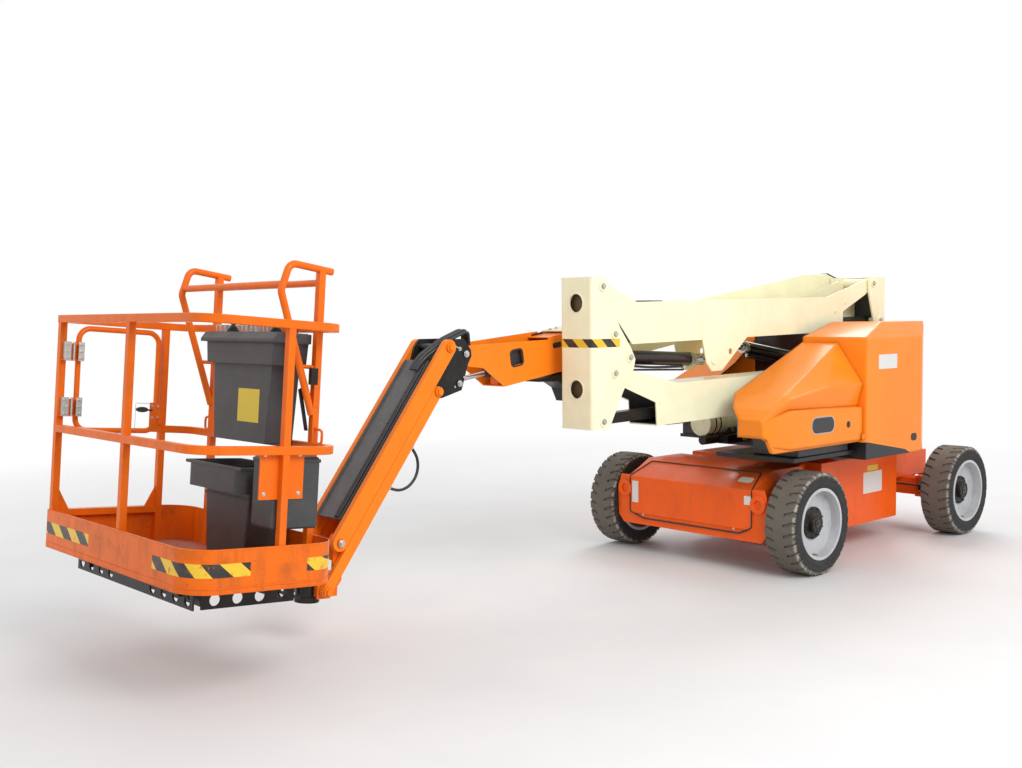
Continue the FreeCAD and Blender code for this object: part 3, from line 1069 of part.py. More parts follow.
def platform_rails():
    """Posts and rails of the platform, with the two guards that arch over the console."""
    x0, x1 = s.back_x + s.tube_inset, s.back_x + s.platform_deep - s.tube_inset
    y0, y1 = s.tube_inset - s.platform_long / 2, s.platform_long / 2 - s.tube_inset
    base, top = s.floor_low + s.floor_thick, s.floor_low + s.rail_top
    foot = base + s.seat_gap
    high, mid = s.floor_low + s.guard_top, s.floor_low + s.rail_mid
    bend = s.corner - s.tube_inset
    latch_x, middle_x = s.back_x + s.latch_post, s.back_x + s.side_post
    corner_y, near_x = y0 - s.tube, x1 - s.tube + s.tube_round
    top_run = [(x1, corner_y, top), (x1, y1, top), (x0, y1, top), (x0, y0, top), (near_x, y0, top)]
    mid_run = [(x1, y0 + s.tube_round, mid), (x1, y1, mid), (x0, y1, mid), (x0, y0, mid), (latch_x, y0, mid)]
    parts = [tube_path(s.tube, top_run, bend, True), tube_path(s.tube, mid_run, bend, True)]
    posts = [(x1, y0, top), (x1, s.front_post, top), (middle_x, y1, top), (latch_x, y0, top),
             (x0, s.post_left, high), (x0, s.post_right, high)]
    parts += [block(x - s.post, x + s.post, y - s.post, y + s.post, foot, end) for x, y, end in posts]
    out = x0 + s.guard_out
    guard_foot = s.floor_low + s.guard_foot
    for y in (s.post_left, s.post_right):
        guard = [(x0 - s.guard_back, y, high), (out - s.guard_curl, y, high + s.guard_lift),
                 (out, y, high - s.guard_fall), (x0 + s.guard_heel, y, guard_foot)]
        parts.append(tube_path(s.guard_tube, guard, s.guard_bend))
    parts.append(rod("Y", s.post, s.post_left, s.post_right, x0, high - 3 * s.tube))
    parts.append(rod("Y", s.post, s.post_left, s.post_right, out - s.cross_in, high - s.cross_drop))
    plate_y = y1 - s.post
    parts.append(block(middle_x - s.plate_half, middle_x + s.plate_half, plate_y - s.toe_thick, plate_y + 1,
                       base + s.plate_low, base + s.plate_high))
    edge = s.floor_low + s.toe_high
    for x, way in ((latch_x, 1), (x1, -1)):
        face = x + way * (s.post - 1)
        parts.append(plate("XZ", [(face, edge - s.sill), (face + way * s.foot_gusset, edge - s.sill),
                                  (face, edge + s.foot_gusset_high)], y0 - s.toe_thick / 2, y0 + s.toe_thick / 2))
    parts.append(block(latch_x, x1, y0 - s.sill, y0 + s.post, edge - 2 * s.post, edge - s.seat_gap))
    hinge_x, hinge_y, heights = gate_hinge()
    for z in heights:
        under = z - s.hinge_half - s.seat_gap
        parts.append(rod("Z", s.hinge_pin, under - s.hinge_pin, z + s.hinge_half, hinge_x, hinge_y))
        parts.append(block(hinge_x - s.hinge_barrel, x1, hinge_y - s.hinge_barrel, hinge_y + s.hinge_barrel,
                           under - s.hinge_pin, under))
        parts.append(block(x1 - s.hinge_pin, x1 + s.hinge_pin, y0, hinge_y + s.hinge_barrel, under - s.hinge_pin,
                           under))
    level("platform_rails", fuse(*parts), s.platform_y)


def gate_hinge():
    """Place of the gate's hinge axis on the platform, and the heights of its two barrels."""
    x = s.back_x + s.platform_deep - s.tube_inset - s.gate_hinge_in
    y = s.tube_inset - s.platform_long / 2 + s.gate_hinge_side
    low, high = s.floor_low + s.gate_bottom, s.floor_low + s.gate_high
    return x, y, (low + s.hinge_inset, high - s.hinge_inset)


def platform_gate():
    """Swing gate on the front corner post, inwards."""
    y0 = s.tube_inset - s.platform_long / 2
    low, high = s.floor_low + s.gate_bottom, s.floor_low + s.gate_high
    hinge_x, hinge_y, heights = gate_hinge()
    near, far = hinge_x - s.gate_start, hinge_x - s.gate_reach
    middle = (low + high) / 2
    loop = [(near, y0, middle), (near, y0, high), (far, y0, high), (far, y0, low), (near, y0, low),
            (near, y0, middle)]
    parts = [tube_path(s.gate_tube, loop, s.gate_bend)]
    bores = []
    for z in heights:
        parts.append(block(near - s.gate_tube, hinge_x, y0 + s.gate_tube - 2, hinge_y - s.hinge_pin - 2,
                           z - s.hinge_half, z + s.hinge_half))
        parts.append(rod("Z", s.hinge_barrel, z - s.hinge_half, z + s.hinge_half, hinge_x, hinge_y))
        bores.append(rod("Z", s.hinge_pin + s.run_gap, z - 2 * s.hinge_half, z + 2 * s.hinge_half, hinge_x, hinge_y))
    level("platform_gate", cut(fuse(*parts), *bores), s.platform_y)


def console():
    """Control console on its pedestal, on the back posts."""
    x = s.back_x
    base = s.floor_low
    rail = x + s.tube_inset + s.tube + s.seat_gap
    front, left, right = x + s.console_deep, s.console_left, s.console_left + s.console_wide
    top = base + s.console_high
    under = top - s.lid_thick
    low = base + s.console_low
    box = plate("YZ", [(left + s.console_taper, low), (right - s.console_taper, low), (right - s.lid_lap, under),
                       (left + s.lid_lap, under)], rail, front - s.lid_lap)
    lid = plate("XZ", [(rail, under), (front, under), (front, under + s.lid_thick / 3),
                       (front - s.lid_thick / 2, top), (rail, top)], left, right)
    stem_right = s.pedestal_left + s.pedestal_wide
    stem = plate("YZ", [(s.pedestal_left, low), (stem_right, low), (stem_right - s.stem_taper, base + s.pedestal_low),
                        (s.pedestal_left + s.stem_taper, base + s.pedestal_low)], rail, rail + s.pedestal_deep)
    level("control_console", fuse(lid, box, stem), s.platform_y)


def boxes():
    """Tool tray and the boxes below the console."""
    x, base = s.back_x, s.floor_low
    rail = x + s.tube_inset + s.tube + s.seat_gap
    upright = lambda edge: edge.BoundBox.XLength < 1 and edge.BoundBox.YLength < 1
    wall = s.tray_wall

    def tray(inset, low, high):
        """The tray's outline moved in, with rounded corners."""
        y0, y1 = s.tray_left + inset, s.tray_left + s.tray_wide - inset
        return soften(plate("XY", [(rail + inset, y0), (x + s.tray_out - inset, y0), (x + s.tray_out - inset, y1),
                                   (rail + inset, y1)], low, high), 60 - inset, upright)

    low, high = base + s.tray_low, base + s.tray_high
    level("tool_tray", cut(tray(as_size(0), low, high), tray(wall, low + wall, high + wall)), s.platform_y)
    side = block(x + s.side_box_back, x + s.side_box_back + s.side_box_deep, s.side_box_left,
                 s.side_box_left + s.side_box_wide, base + s.side_box_low, base + s.side_box_high)
    low_left, low_right = s.low_box_left, s.low_box_left + s.low_box_wide
    low, high = base + s.floor_thick + s.seat_gap, base + s.low_box_high
    lower = plate("YZ", [(low_left + s.console_taper, low), (low_right - s.console_taper, low), (low_right, high),
                         (low_left, high)], rail, rail + s.low_box_deep)
    both = named("Part::Compound", "Boxes")
    both.Links = [side, lower]
    level("platform_boxes", both, s.platform_y)


def hose_loop():
    """Free hose that hangs in a loop between two clamps under the jib link, given along the link."""
    x, z = s.hose_start.value, -(s.leg_half + s.hose_radius / 3).value
    y, run, step = s.hose_y.value, s.hose_run.value, s.hose_turn.value
    corners = [Vector(x, y, z)]
    for n in range(HOSE_RUNS):
        heading = math.radians(step * (n - (HOSE_RUNS - 1) / 2))
        x += run * math.cos(heading)
        z += run * math.sin(heading)
        corners.append(Vector(x, y, z))
    edges = []
    start = corners[0]
    radii = []
    for before, corner, after in zip(corners, corners[1:], corners[2:]):
        into, out = corner - before, after - corner
        shorter = min(into.Length, out.Length)
        turn = into.getAngle(out)
        bend = 0.45 * shorter / math.tan(turn / 2)
        radii.append(round(bend))
        reach = 0.45 * shorter
        into.normalize()
        out.normalize()
        first, last = corner - into * reach, corner + out * reach
        middle = corner + (out - into).normalize() * (bend / math.cos(turn / 2) - bend)
        edges += [Part.LineSegment(start, first).toShape(), Part.Arc(first, middle, last).toShape()]
        start = last
    edges.append(Part.LineSegment(start, corners[-1]).toShape())
    spine = Part.Wire(edges)
    way = corners[1] - corners[0]
    way.normalize()
    ring = Part.Wire([Part.Circle(corners[0], way, s.hose_radius.value).toShape()])
    item = named("Part::Feature", "Hose")
    item.Shape = spine.makePipeShell([ring], True, False)
    section = math.pi * s.hose_radius.value ** 2
    print("hose loop: radii", radii, "length", round(spine.Length), "volume share",
          round(item.Shape.Volume / (section * spine.Length), 4))
    hang("jib_hose", item, s.jib_x + s.jib_dx, s.boom_y, s.jib_z - s.jib_dz, s.jib_angle)


def build():
    """Make every sub-part."""
    wheels()
    chassis()
    drive_end_casing()
    axles()
    steering()
    slewing()
    turntable()
    counterweight()
    rear_covers()
    hoods()
    battery_packs()
    power_unit()
    tower_boom("lower_boom", s.pivot_x, s.pivot_z, 1)
    tower_link("lower_link", s.pivot_x + s.link_x, s.pivot_z - s.link_z, 1)
    top_x, top_z = top_pivot()
    tower_boom("upper_boom", top_x, top_z, -1)
    tower_link("upper_link", top_x - s.link_x, top_z - s.link_z, -1)
    front_upright()
    rear_upright()
    tower_cylinders()
    main_lift_cylinder()
    main_boom()
    fly_boom()
    jib_bracket()
    jib()
    hose_loop()
    platform_support()
    rotator()
    carrier()
    platform_floor()
    platform_rails()
    platform_gate()
    console()
    boxes()


def write():
    """Check every object, then write each sub-part."""
    doc.recompute()
    broken = [item.Label for item in doc.Objects if {"Invalid", "Error"} & set(item.State)]
    if broken:
        raise RuntimeError(f"failed objects: {broken}")
    for name, item in made.items():
        if item.Shape.isNull() or not item.Shape.isValid():
            raise RuntimeError(f"bad shape: {name}")
    os.makedirs("parts", exist_ok=True)
    for name, item in made.items():
        item.Shape.exportStep(f"parts/{name}.step")
    box = made["tyre_front_left"].Shape.optimalBoundingBox()
    for item in made.values():
        box.add(item.Shape.optimalBoundingBox())
    print(len(made), "sub-parts, box", [round(v, 2) for v in (box.XMin, box.XMax, box.YMin, box.YMax, box.ZMin,
                                                              box.ZMax)])


build()
write()
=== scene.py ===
"""Dresses the articulating boom lift: paint, tyres, tape, fasteners, hoses and controls on its frame."""
import math
import bmesh
import bpy
from mathutils import Matrix, Vector


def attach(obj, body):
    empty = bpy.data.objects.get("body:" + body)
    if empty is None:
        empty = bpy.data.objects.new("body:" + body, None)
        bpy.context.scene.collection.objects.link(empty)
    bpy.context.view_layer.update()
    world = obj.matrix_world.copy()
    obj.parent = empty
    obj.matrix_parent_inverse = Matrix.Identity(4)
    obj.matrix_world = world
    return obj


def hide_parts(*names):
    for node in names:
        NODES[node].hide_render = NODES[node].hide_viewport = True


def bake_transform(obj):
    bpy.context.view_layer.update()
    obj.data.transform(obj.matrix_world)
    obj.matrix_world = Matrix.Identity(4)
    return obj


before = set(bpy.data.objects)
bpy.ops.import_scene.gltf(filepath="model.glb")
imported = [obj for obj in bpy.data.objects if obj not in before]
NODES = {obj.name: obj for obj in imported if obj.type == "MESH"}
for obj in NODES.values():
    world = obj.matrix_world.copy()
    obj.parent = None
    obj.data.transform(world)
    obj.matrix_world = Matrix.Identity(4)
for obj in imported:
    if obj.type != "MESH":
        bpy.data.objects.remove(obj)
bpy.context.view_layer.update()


# Frames of the tilted members, in metres, with X along the member

def tilted(x, y, z, slope):
    """Frame at a pivot whose X is lowered by a slope in degrees."""
    return Matrix.Translation((x, y, z)) @ Matrix.Rotation(math.radians(slope), 4, "Y")


PLATFORM = tilted(2.14358, -0.1325, 0.52469, -4.67)
BOOM = tilted(-2.56267, -0.1425, 1.87, 8.6)
TIP = tilted(1.24708, -0.1425, 1.47486, 0)
JIB = tilted(1.39733, -0.1425, 1.515, 53)
JIB_LINK = tilted(1.47933, -0.1425, 1.2735, 53)
LOWER = tilted(-2.66767, 0.18, 1.4, 1.1)
UPPER = tilted(0.48077, 0.18, 1.8576, 1.1)
FRONT = tilted(0.37377, 0.18, 1.3416, 0)
REAR = tilted(-2.56067, 0.18, 1.916, 0)
MACHINE = tilted(-0.96267, 0.0175, 0, 0)


# Shader node groups

def new_group(name, outputs, **inputs):
    """An empty shader node group, with its given sockets and its result sockets."""
    group = bpy.data.node_groups.new(name, "ShaderNodeTree")
    for label, default in inputs.items():
        kind = {1: "Float", 3: "Vector", 4: "Color"}[len(default) if isinstance(default, tuple) else 1]
        socket = group.interface.new_socket(label, in_out="INPUT", socket_type="NodeSocket" + kind)
        socket.default_value = default
    for label in outputs:
        kind = "Color" if label == "Color" else "Float"
        group.interface.new_socket(label, in_out="OUTPUT", socket_type="NodeSocket" + kind)
    return group, group.nodes.new("NodeGroupInput").outputs, group.nodes.new("NodeGroupOutput").inputs


def send(tree, sockets, **values):
    """Links values to sockets by name."""
    for name, value in values.items():
        tree.links.new(value, sockets[name.replace("_", " ")])


def node(tree, kind, **values):
    """A shader node with its properties and inputs set; an input given as a socket is linked."""
    made = tree.nodes.new("ShaderNode" + kind)
    for key, value in values.items():
        if hasattr(made, key) and not key.startswith("in_"):
            setattr(made, key, value)
            continue
        key = key.removeprefix("in_")
        socket = made.inputs[int(key) if key.isdigit() else key]
        if isinstance(value, bpy.types.NodeSocket):
            tree.links.new(value, socket)
        else:
            socket.default_value = value
    return made


def own_place(tree):
    """Place in the object's own frame."""
    return node(tree, "TexCoord").outputs["Object"]


def math_node(tree, operation, a, b=0.5, clamp=False):
    """A math node's output."""
    return node(tree, "Math", operation=operation, use_clamp=clamp, in_0=a, in_1=b).outputs[0]


def times(tree, a, b, clamp=False):
    """A product."""
    return math_node(tree, "MULTIPLY", a, b, clamp)


def plus(tree, a, b, clamp=False):
    """A sum."""
    return math_node(tree, "ADD", a, b, clamp)


def ramp(tree, factor, low, high):
    """A factor stretched from 0 at low to 1 at high."""
    return node(tree, "MapRange", clamp=True, in_0=factor, in_1=low, in_2=high).outputs[0]


def mix(tree, factor, a, b):
    """A mix of two colours."""
    return node(tree, "Mix", data_type="RGBA", in_0=factor, in_6=a, in_7=b).outputs[2]


def noise(tree, vector, scale, detail=3.0, rough=0.55):
    """Noise output between 0 and 1."""
    return node(tree, "TexNoise", in_Vector=vector, in_Scale=scale, in_Detail=detail,
                in_Roughness=rough).outputs["Fac"]


def stretched(tree, vector, scale):
    """A vector scaled along each axis."""
    return node(tree, "Mapping", in_Vector=vector, in_Scale=scale).outputs[0]


def build_wear_group():
    """Chipped edges, scuffs and tone changes of painted steel."""
    group, given, out = new_group(
        "Paint wear", ("Color", "Worn", "Height"), Paint=(1, 1, 1, 1), Chip=(0.1, 0.1, 0.1, 1),
        Grime=(0.05, 0.04, 0.03, 1), Chips=0.5, Dirt=0.3, Edge=0.006)
    place = own_place(group)
    soft = node(group, "Bevel", samples=6, in_Radius=given["Edge"]).outputs[0]
    dot = node(group, "VectorMath", operation="DOT_PRODUCT", in_0=soft,
               in_1=node(group, "NewGeometry").outputs["Normal"]).outputs["Value"]
    breakup = ramp(group, noise(group, place, 38.0, 5.0, 0.7), 0.5, 0.64)
    chips = times(group, times(group, ramp(group, dot, 0.985, 0.86), breakup), given["Chips"], True)
    specks = times(group, ramp(group, noise(group, place, 95.0, 2.0, 0.5), 0.735, 0.76), given["Chips"])
    worn = math_node(group, "MAXIMUM", chips, specks)
    shade = times(group, ramp(group, noise(group, place, 2.6, 4.0, 0.6), 0.35, 0.7), 0.1)
    tone = mix(group, shade, given["Paint"], (0.0, 0.0, 0.0, 1))
    streaks = noise(group, stretched(group, place, (1.0, 1.0, 0.12)), 16.0, 4.0, 0.62)
    spread = times(group, ramp(group, streaks, 0.5, 0.78), given["Dirt"])
    smudge = times(group, ramp(group, noise(group, place, 7.0, 6.0, 0.68), 0.5, 0.72), given["Dirt"])
    dirt = math_node(group, "MAXIMUM", spread, smudge, True)
    peel = times(group, noise(group, place, 260.0, 1.0, 0.4), 0.25)
    send(group, out, Color=mix(group, worn, mix(group, dirt, tone, given["Grime"]), given["Chip"]),
         Worn=plus(group, worn, times(group, dirt, 0.6), True),
         Height=math_node(group, "SUBTRACT", peel, worn))
    return group


def build_grain_group():
    """Fine grain of moulded plastic and rubber, with paler scuffs."""
    group, given, out = new_group(
        "Moulded grain", ("Color", "Mask", "Height"), Base=(0.1, 0.1, 0.1, 1), Scuff=(0.3, 0.3, 0.3, 1),
        Grain=420.0, Scuffs=0.3)
    place = own_place(group)
    scratch = noise(group, stretched(group, place, (1.0, 1.0, 4.0)), 22.0, 6.0, 0.75)
    mask = times(group, ramp(group, scratch, 0.52, 0.74), given["Scuffs"], True)
    tone = mix(group, times(group, noise(group, place, 5.0), 0.25), given["Base"], given["Scuff"])
    cells = node(group, "TexVoronoi", in_Vector=place, in_Scale=given["Grain"])
    send(group, out, Color=mix(group, mask, tone, given["Scuff"]), Mask=mask,
         Height=cells.outputs["Distance"])
    return group


def build_dust_group():
    """Pale dust that settles on upward faces."""
    group, given, out = new_group(
        "Settled dust", ("Color", "Mask"), Base=(0.1, 0.1, 0.1, 1), Dust=(0.4, 0.38, 0.35, 1), Amount=0.4)
    normal = node(group, "NewGeometry").outputs["Normal"]
    upward = ramp(group, node(group, "SeparateXYZ", in_0=normal).outputs[2], 0.2, 1.0)
    patches = ramp(group, noise(group, own_place(group), 9.0, 6.0, 0.7), 0.32, 0.72)
    mask = times(group, times(group, plus(group, upward, 0.25), patches), given["Amount"], True)
    send(group, out, Color=mix(group, mask, given["Base"], given["Dust"]), Mask=mask)
    return group


def build_tape_group():
    """Slanted stripes of hazard tape along a direction, scuffed where it is worn."""
    group, given, out = new_group(
        "Hazard tape", ("Color", "Worn"), Light=(0.9, 0.7, 0.05, 1), Dark=(0.01, 0.01, 0.01, 1),
        Bare=(0.8, 0.2, 0.05, 1), Slant=(10.0, 10.0, 10.0), Wear=0.5)
    place = own_place(group)
    along = node(group, "VectorMath", operation="DOT_PRODUCT", in_0=place,
                 in_1=given["Slant"]).outputs["Value"]
    band = math_node(group, "GREATER_THAN", math_node(group, "FRACT", along), 0.5)
    worn = times(group, ramp(group, noise(group, place, 30.0, 6.0, 0.72), 0.56, 0.64), given["Wear"], True)
    stripes = mix(group, band, given["Light"], given["Dark"])
    send(group, out, Color=mix(group, worn, stripes, given["Bare"]), Worn=worn)
    return group


WEAR = build_wear_group()
GRAIN = build_grain_group()
DUST = build_dust_group()
TAPE = build_tape_group()


# Materials

def linear(red, green, blue):
    """A display colour from 0 to 255 as linear light."""
    def one(value):
        value /= 255
        return value / 12.92 if value <= 0.04045 else ((value + 0.055) / 1.055) ** 2.4
    return (one(red), one(green), one(blue), 1)


def new_finish(name, **settings):
    """A material, its node tree, and its Principled shader with values set."""
    material = bpy.data.materials.new(name)
    material.use_nodes = True
    shader = material.node_tree.nodes["Principled BSDF"]
    for key, value in settings.items():
        shader.inputs[key.replace("_", " ")].default_value = value
    return material, material.node_tree, shader


def grouped(tree, group, **values):
    """A node group placed in a material with its own values; gives its outputs."""
    made = tree.nodes.new("ShaderNodeGroup")
    made.node_tree = group
    for key, value in values.items():
        if isinstance(value, bpy.types.NodeSocket):
            tree.links.new(value, made.inputs[key])
        else:
            made.inputs[key].default_value = value
    return made.outputs


def bump(tree, shader, height, strength, distance):
    """A bump on a shader's normal."""
    made = node(tree, "Bump", in_Strength=strength, in_Distance=distance, in_Height=height)
    tree.links.new(made.outputs[0], shader.inputs["Normal"])
    return made


def surface(tree, shader, colour, rough, *marks):
    """Links a colour, and a roughness that is raised by each mask times its share."""
    for mask, share in marks:
        rough = plus(tree, rough, times(tree, mask, share), True)
    send(tree, shader.inputs, Base_Color=colour, Roughness=rough)


# Painted shade on the inner side of the hoods and the rear covers
PAINTED_INNER_SHADE = (58, 22, 16)


def painted(name, paint, chip, rough=0.34, coat=0.35, chips=0.5, dirt=0.25, dust=0.2, edge=0.004, soft=0.0,
            lining=0):
    """Sprayed paint on steel or a moulded cover: worn edges, grime streaks, settled dust and softened edges.
    The lining argument names a side: the faces that look across the machine to that side get a dark painted
    shade."""
    material, tree, shader = new_finish(name, Coat_Weight=coat, Coat_Roughness=0.12, Specular_IOR_Level=0.15)
    wear = grouped(tree, WEAR, Paint=linear(*paint), Chip=linear(*chip), Grime=linear(74, 58, 46),
                   Chips=chips, Dirt=dirt, Edge=edge)
    dusty = grouped(tree, DUST, Base=wear["Color"], Dust=linear(176, 168, 156), Amount=dust)
    colour = dusty["Color"]
    # Painted shade: the faces that look inward across the machine are darkened as if in shadow
    if lining:
        across = node(tree, "SeparateXYZ", in_0=node(tree, "TexCoord").outputs["Normal"]).outputs[1]
        colour = mix(tree, ramp(tree, times(tree, across, lining), 0.2, 0.3), colour, linear(*PAINTED_INNER_SHADE))
    surface(tree, shader, colour, rough, (wear["Worn"], 0.35), (dusty["Mask"], 0.4))
    made = bump(tree, shader, wear["Height"], 0.12, 0.0006)
    if soft:
        rounded = node(tree, "Bevel", samples=8, in_Radius=soft)
        tree.links.new(rounded.outputs[0], made.inputs["Normal"])
    return material


def moulded(name, base, scuff, rough=0.55, grain=420.0, scuffs=0.3, dust=0.25, depth=0.0004):
    """Grained plastic or rubber with scuffs and dust."""
    material, tree, shader = new_finish(name)
    grained = grouped(tree, GRAIN, Base=linear(*base), Scuff=linear(*scuff), Grain=grain, Scuffs=scuffs)
    dusty = grouped(tree, DUST, Base=grained["Color"], Dust=linear(160, 154, 144), Amount=dust)
    surface(tree, shader, dusty["Color"], rough, (dusty["Mask"], 0.3))
    bump(tree, shader, grained["Height"], 0.25, depth)
    return material


def bright_metal(name, colour, rough, dirt=0.2, chips=0.0):
    """Bare or plated metal with handling marks."""
    material, tree, shader = new_finish(name, Metallic=1.0)
    wear = grouped(tree, WEAR, Paint=linear(*colour), Chip=linear(120, 118, 114), Grime=linear(70, 62, 54),
                   Chips=chips, Dirt=dirt)
    surface(tree, shader, wear["Color"], rough, (wear["Worn"], 0.5))
    return material


def taped(name, slant, wear=0.7):
    """Hazard tape whose stripes follow a slanted direction."""
    material, tree, shader = new_finish(name, Coat_Weight=0.15)
    tape = grouped(tree, TAPE, Light=linear(240, 196, 30), Dark=linear(22, 20, 20), Bare=linear(196, 92, 38),
                   Slant=slant, Wear=wear)
    dusty = grouped(tree, DUST, Base=tape["Color"], Dust=linear(150, 140, 126), Amount=0.35)
    surface(tree, shader, dusty["Color"], 0.38, (tape["Worn"], 0.3))
    return material


def worn_tyre(name):
    """Tyre rubber: dusty brown tread, darker walls and a pale scuffed edge at each shoulder."""
    material, tree, shader = new_finish(name, Specular_IOR_Level=0.25)
    place = node(tree, "TexCoord")
    across = node(tree, "SeparateXYZ", in_0=place.outputs["Object"])
    facing = node(tree, "SeparateXYZ", in_0=place.outputs["Normal"]).outputs[1]
    wall = ramp(tree, math_node(tree, "ABSOLUTE", facing), 0.45, 0.85)
    level = node(tree, "CombineXYZ", in_0=across.outputs[0], in_1=across.outputs[2])
    reach = node(tree, "VectorMath", operation="LENGTH", in_0=level.outputs[0]).outputs["Value"]
    shoulder = times(tree, ramp(tree, math_node(tree, "ABSOLUTE", across.outputs[1]), 0.097, 0.105),
                     ramp(tree, reach, 0.307, 0.318), True)
    patchy = ramp(tree, noise(tree, place.outputs["Object"], 26.0, 5.0, 0.7), 0.34, 0.58)
    grained = grouped(tree, GRAIN, Base=mix(tree, wall, linear(98, 93, 86), linear(44, 44, 47)),
                      Scuff=mix(tree, wall, linear(132, 126, 116), linear(72, 70, 68)), Grain=160.0,
                      Scuffs=0.5)
    edged = mix(tree, times(tree, shoulder, patchy), grained["Color"], linear(176, 170, 156))
    dusty = grouped(tree, DUST, Base=edged, Dust=linear(140, 133, 122), Amount=0.3)
    surface(tree, shader, dusty["Color"], 0.8, (dusty["Mask"], 0.15))
    bump(tree, shader, grained["Height"], 0.3, 0.0012)
    return material


def two_tone(name, above, below, level):
    """Paint that changes colour at a height, in the machine's own frame."""
    material, tree, shader = new_finish(name, Coat_Weight=0.2, Specular_IOR_Level=0.3)
    height = node(tree, "SeparateXYZ", in_0=own_place(tree)).outputs[2]
    paint = mix(tree, ramp(tree, height, level, level + 0.004), linear(*below), linear(*above))
    wear = grouped(tree, WEAR, Paint=paint, Chip=linear(96, 80, 70), Grime=linear(60, 50, 42), Chips=0.4,
                   Dirt=0.15, Edge=0.004)
    surface(tree, shader, wear["Color"], 0.34, (wear["Worn"], 0.3))
    bump(tree, shader, wear["Height"], 0.12, 0.0006)
    return material


ORANGE = (243, 112, 14)
CHASSIS_ORANGE = (250, 98, 14)
COVER_ORANGE = (255, 142, 34)
CREAM = (255, 250, 212)
BLACK = (24, 24, 26)

ORANGE_STEEL = painted("orange frame paint", ORANGE, (120, 70, 50), coat=0.12, chips=0.75, dirt=0.2,
    dust=0.04)
ORANGE_JIB = painted("bright jib paint", (255, 134, 24), (120, 70, 50), coat=0.12, chips=0.4, dirt=0.08,
    dust=0.03)
SCRAPED_ORANGE = painted("scraped platform paint", ORANGE, (84, 46, 36), coat=0.12, chips=1.15, dirt=0.4,
    dust=0.05, edge=0.007)
ORANGE_CHASSIS = painted("orange chassis paint", CHASSIS_ORANGE, (96, 66, 52), rough=0.3, coat=0.16,
    chips=0.5, dirt=0.14, dust=0.12)
# Cover paints whose inward-looking faces carry painted shade, on the side given by lining
LEFT_COVER, RIGHT_COVER = (
    painted(name, COVER_ORANGE, (222, 150, 110), rough=0.24, coat=0.14, chips=0.1, dirt=0.05, dust=0.03,
            edge=0.003, soft=0.03, lining=side)
    for name, side in (("left cover moulding", -1), ("right cover moulding", 1)))
ORANGE_TRAY = painted("worn platform floor", (206, 84, 44), (128, 104, 90), rough=0.5, coat=0.05, chips=0.9,
    dirt=0.55, dust=0.6)
CREAM_STEEL = painted("cream boom paint", CREAM, (190, 176, 140), rough=0.3, coat=0.3, chips=0.3, dirt=0.05,
    dust=0.04)
BLACK_STEEL = painted("black axle paint", BLACK, (88, 84, 80), rough=0.42, coat=0.1, chips=0.6, dirt=0.3,
    dust=0.35)
BLACK_FRAME = painted("black bracket paint", (20, 20, 22), (100, 96, 92), rough=0.36, coat=0.2, chips=0.5,
    dirt=0.15, dust=0.15)
SILVER_RIM = painted("silver rim paint", (196, 198, 202), (110, 104, 96), rough=0.32, coat=0.3, chips=0.4,
    dirt=0.3, dust=0.3)
CAST_GREY = painted("grey casting paint", (70, 70, 72), (120, 116, 110), rough=0.55, coat=0.0)
TYRE_RUBBER = worn_tyre("solid tyre rubber")
GREY_MOULDING = moulded("grey console plastic", (70, 72, 74), (120, 120, 120), rough=0.5, scuffs=0.35)
DARK_MOULDING = moulded("dark cover plastic", (40, 41, 43), (90, 90, 90), rough=0.45, scuffs=0.25)
HOSE_RUBBER = moulded("hydraulic hose rubber", (26, 26, 28), (70, 70, 70), rough=0.48, grain=300.0,
    scuffs=0.15, dust=0.1)
CYLINDER_BLACK = painted("black cylinder paint", (16, 16, 20), (90, 90, 94), rough=0.2, coat=0.6, chips=0.2,
    dirt=0.08, dust=0.1)
ROD_CHROME = bright_metal("chromed rod", (206, 208, 212), 0.1, dirt=0.12)
BOLT_ZINC = bright_metal("zinc bolt", (206, 204, 198), 0.34, dirt=0.25)
HINGE_STEEL = bright_metal("hinge steel", (196, 196, 194), 0.42, dirt=0.2)
DARK_BOLT = bright_metal("blackened bolt", (92, 90, 88), 0.42, dirt=0.35)
VALVE_BRASS = bright_metal("brass valve", (190, 160, 96), 0.3, dirt=0.2)
BLACK_RUBBER = moulded("black rubber", (24, 24, 25), (66, 66, 66), rough=0.5, grain=380.0, scuffs=0.15,
    dust=0.1)
PANEL_BLACK = moulded("control panel face", (38, 38, 40), (96, 96, 96), rough=0.42, scuffs=0.2, dust=0.1)
PALE_PLASTIC = moulded("pale switch guard", (196, 198, 196), (150, 150, 146), rough=0.4, scuffs=0.2, dust=0.1)
STOP_RED = moulded("red stop button", (196, 30, 24), (150, 60, 50), rough=0.3, scuffs=0.1, dust=0.05)
LABEL_WHITE = moulded("blank white label", (226, 226, 222), (180, 176, 168), rough=0.35, scuffs=0.12,
    dust=0.1)
LABEL_YELLOW = moulded("blank yellow label", (232, 206, 40), (170, 150, 60), rough=0.35, scuffs=0.12,
    dust=0.1)
SHADED_BROWN = moulded("shaded inner steel", (96, 78, 52), (70, 56, 40), rough=0.6, scuffs=0.4, dust=0.1)
MOTOR_GREEN = painted("motor paint", (226, 228, 196), (120, 116, 96), rough=0.35, coat=0.2, chips=0.3,
    dirt=0.3, dust=0.2)
BADGE_GREY = moulded("badge edge", (176, 176, 178), (120, 120, 120), rough=0.3, scuffs=0.1, dust=0.05)
BADGE_BLACK = moulded("badge face", (26, 24, 30), (60, 60, 60), rough=0.25, scuffs=0.1, dust=0.05)
TOE_TAPE = taped("platform hazard tape", (-5.0, 5.0, 6.0))
UPRIGHT_TAPE = taped("upright hazard tape", (-6.2, 6.2, 6.8), 0.1)
TURNTABLE_PAINT = two_tone("turntable paint", ORANGE, (22, 21, 22), 0.775)

CORNERS = ("front_left", "front_right", "rear_left", "rear_right")


def at_corners(kind):
    """Names of a wheel's piece at the four corners."""
    return " ".join(kind + "_" + corner for corner in CORNERS)


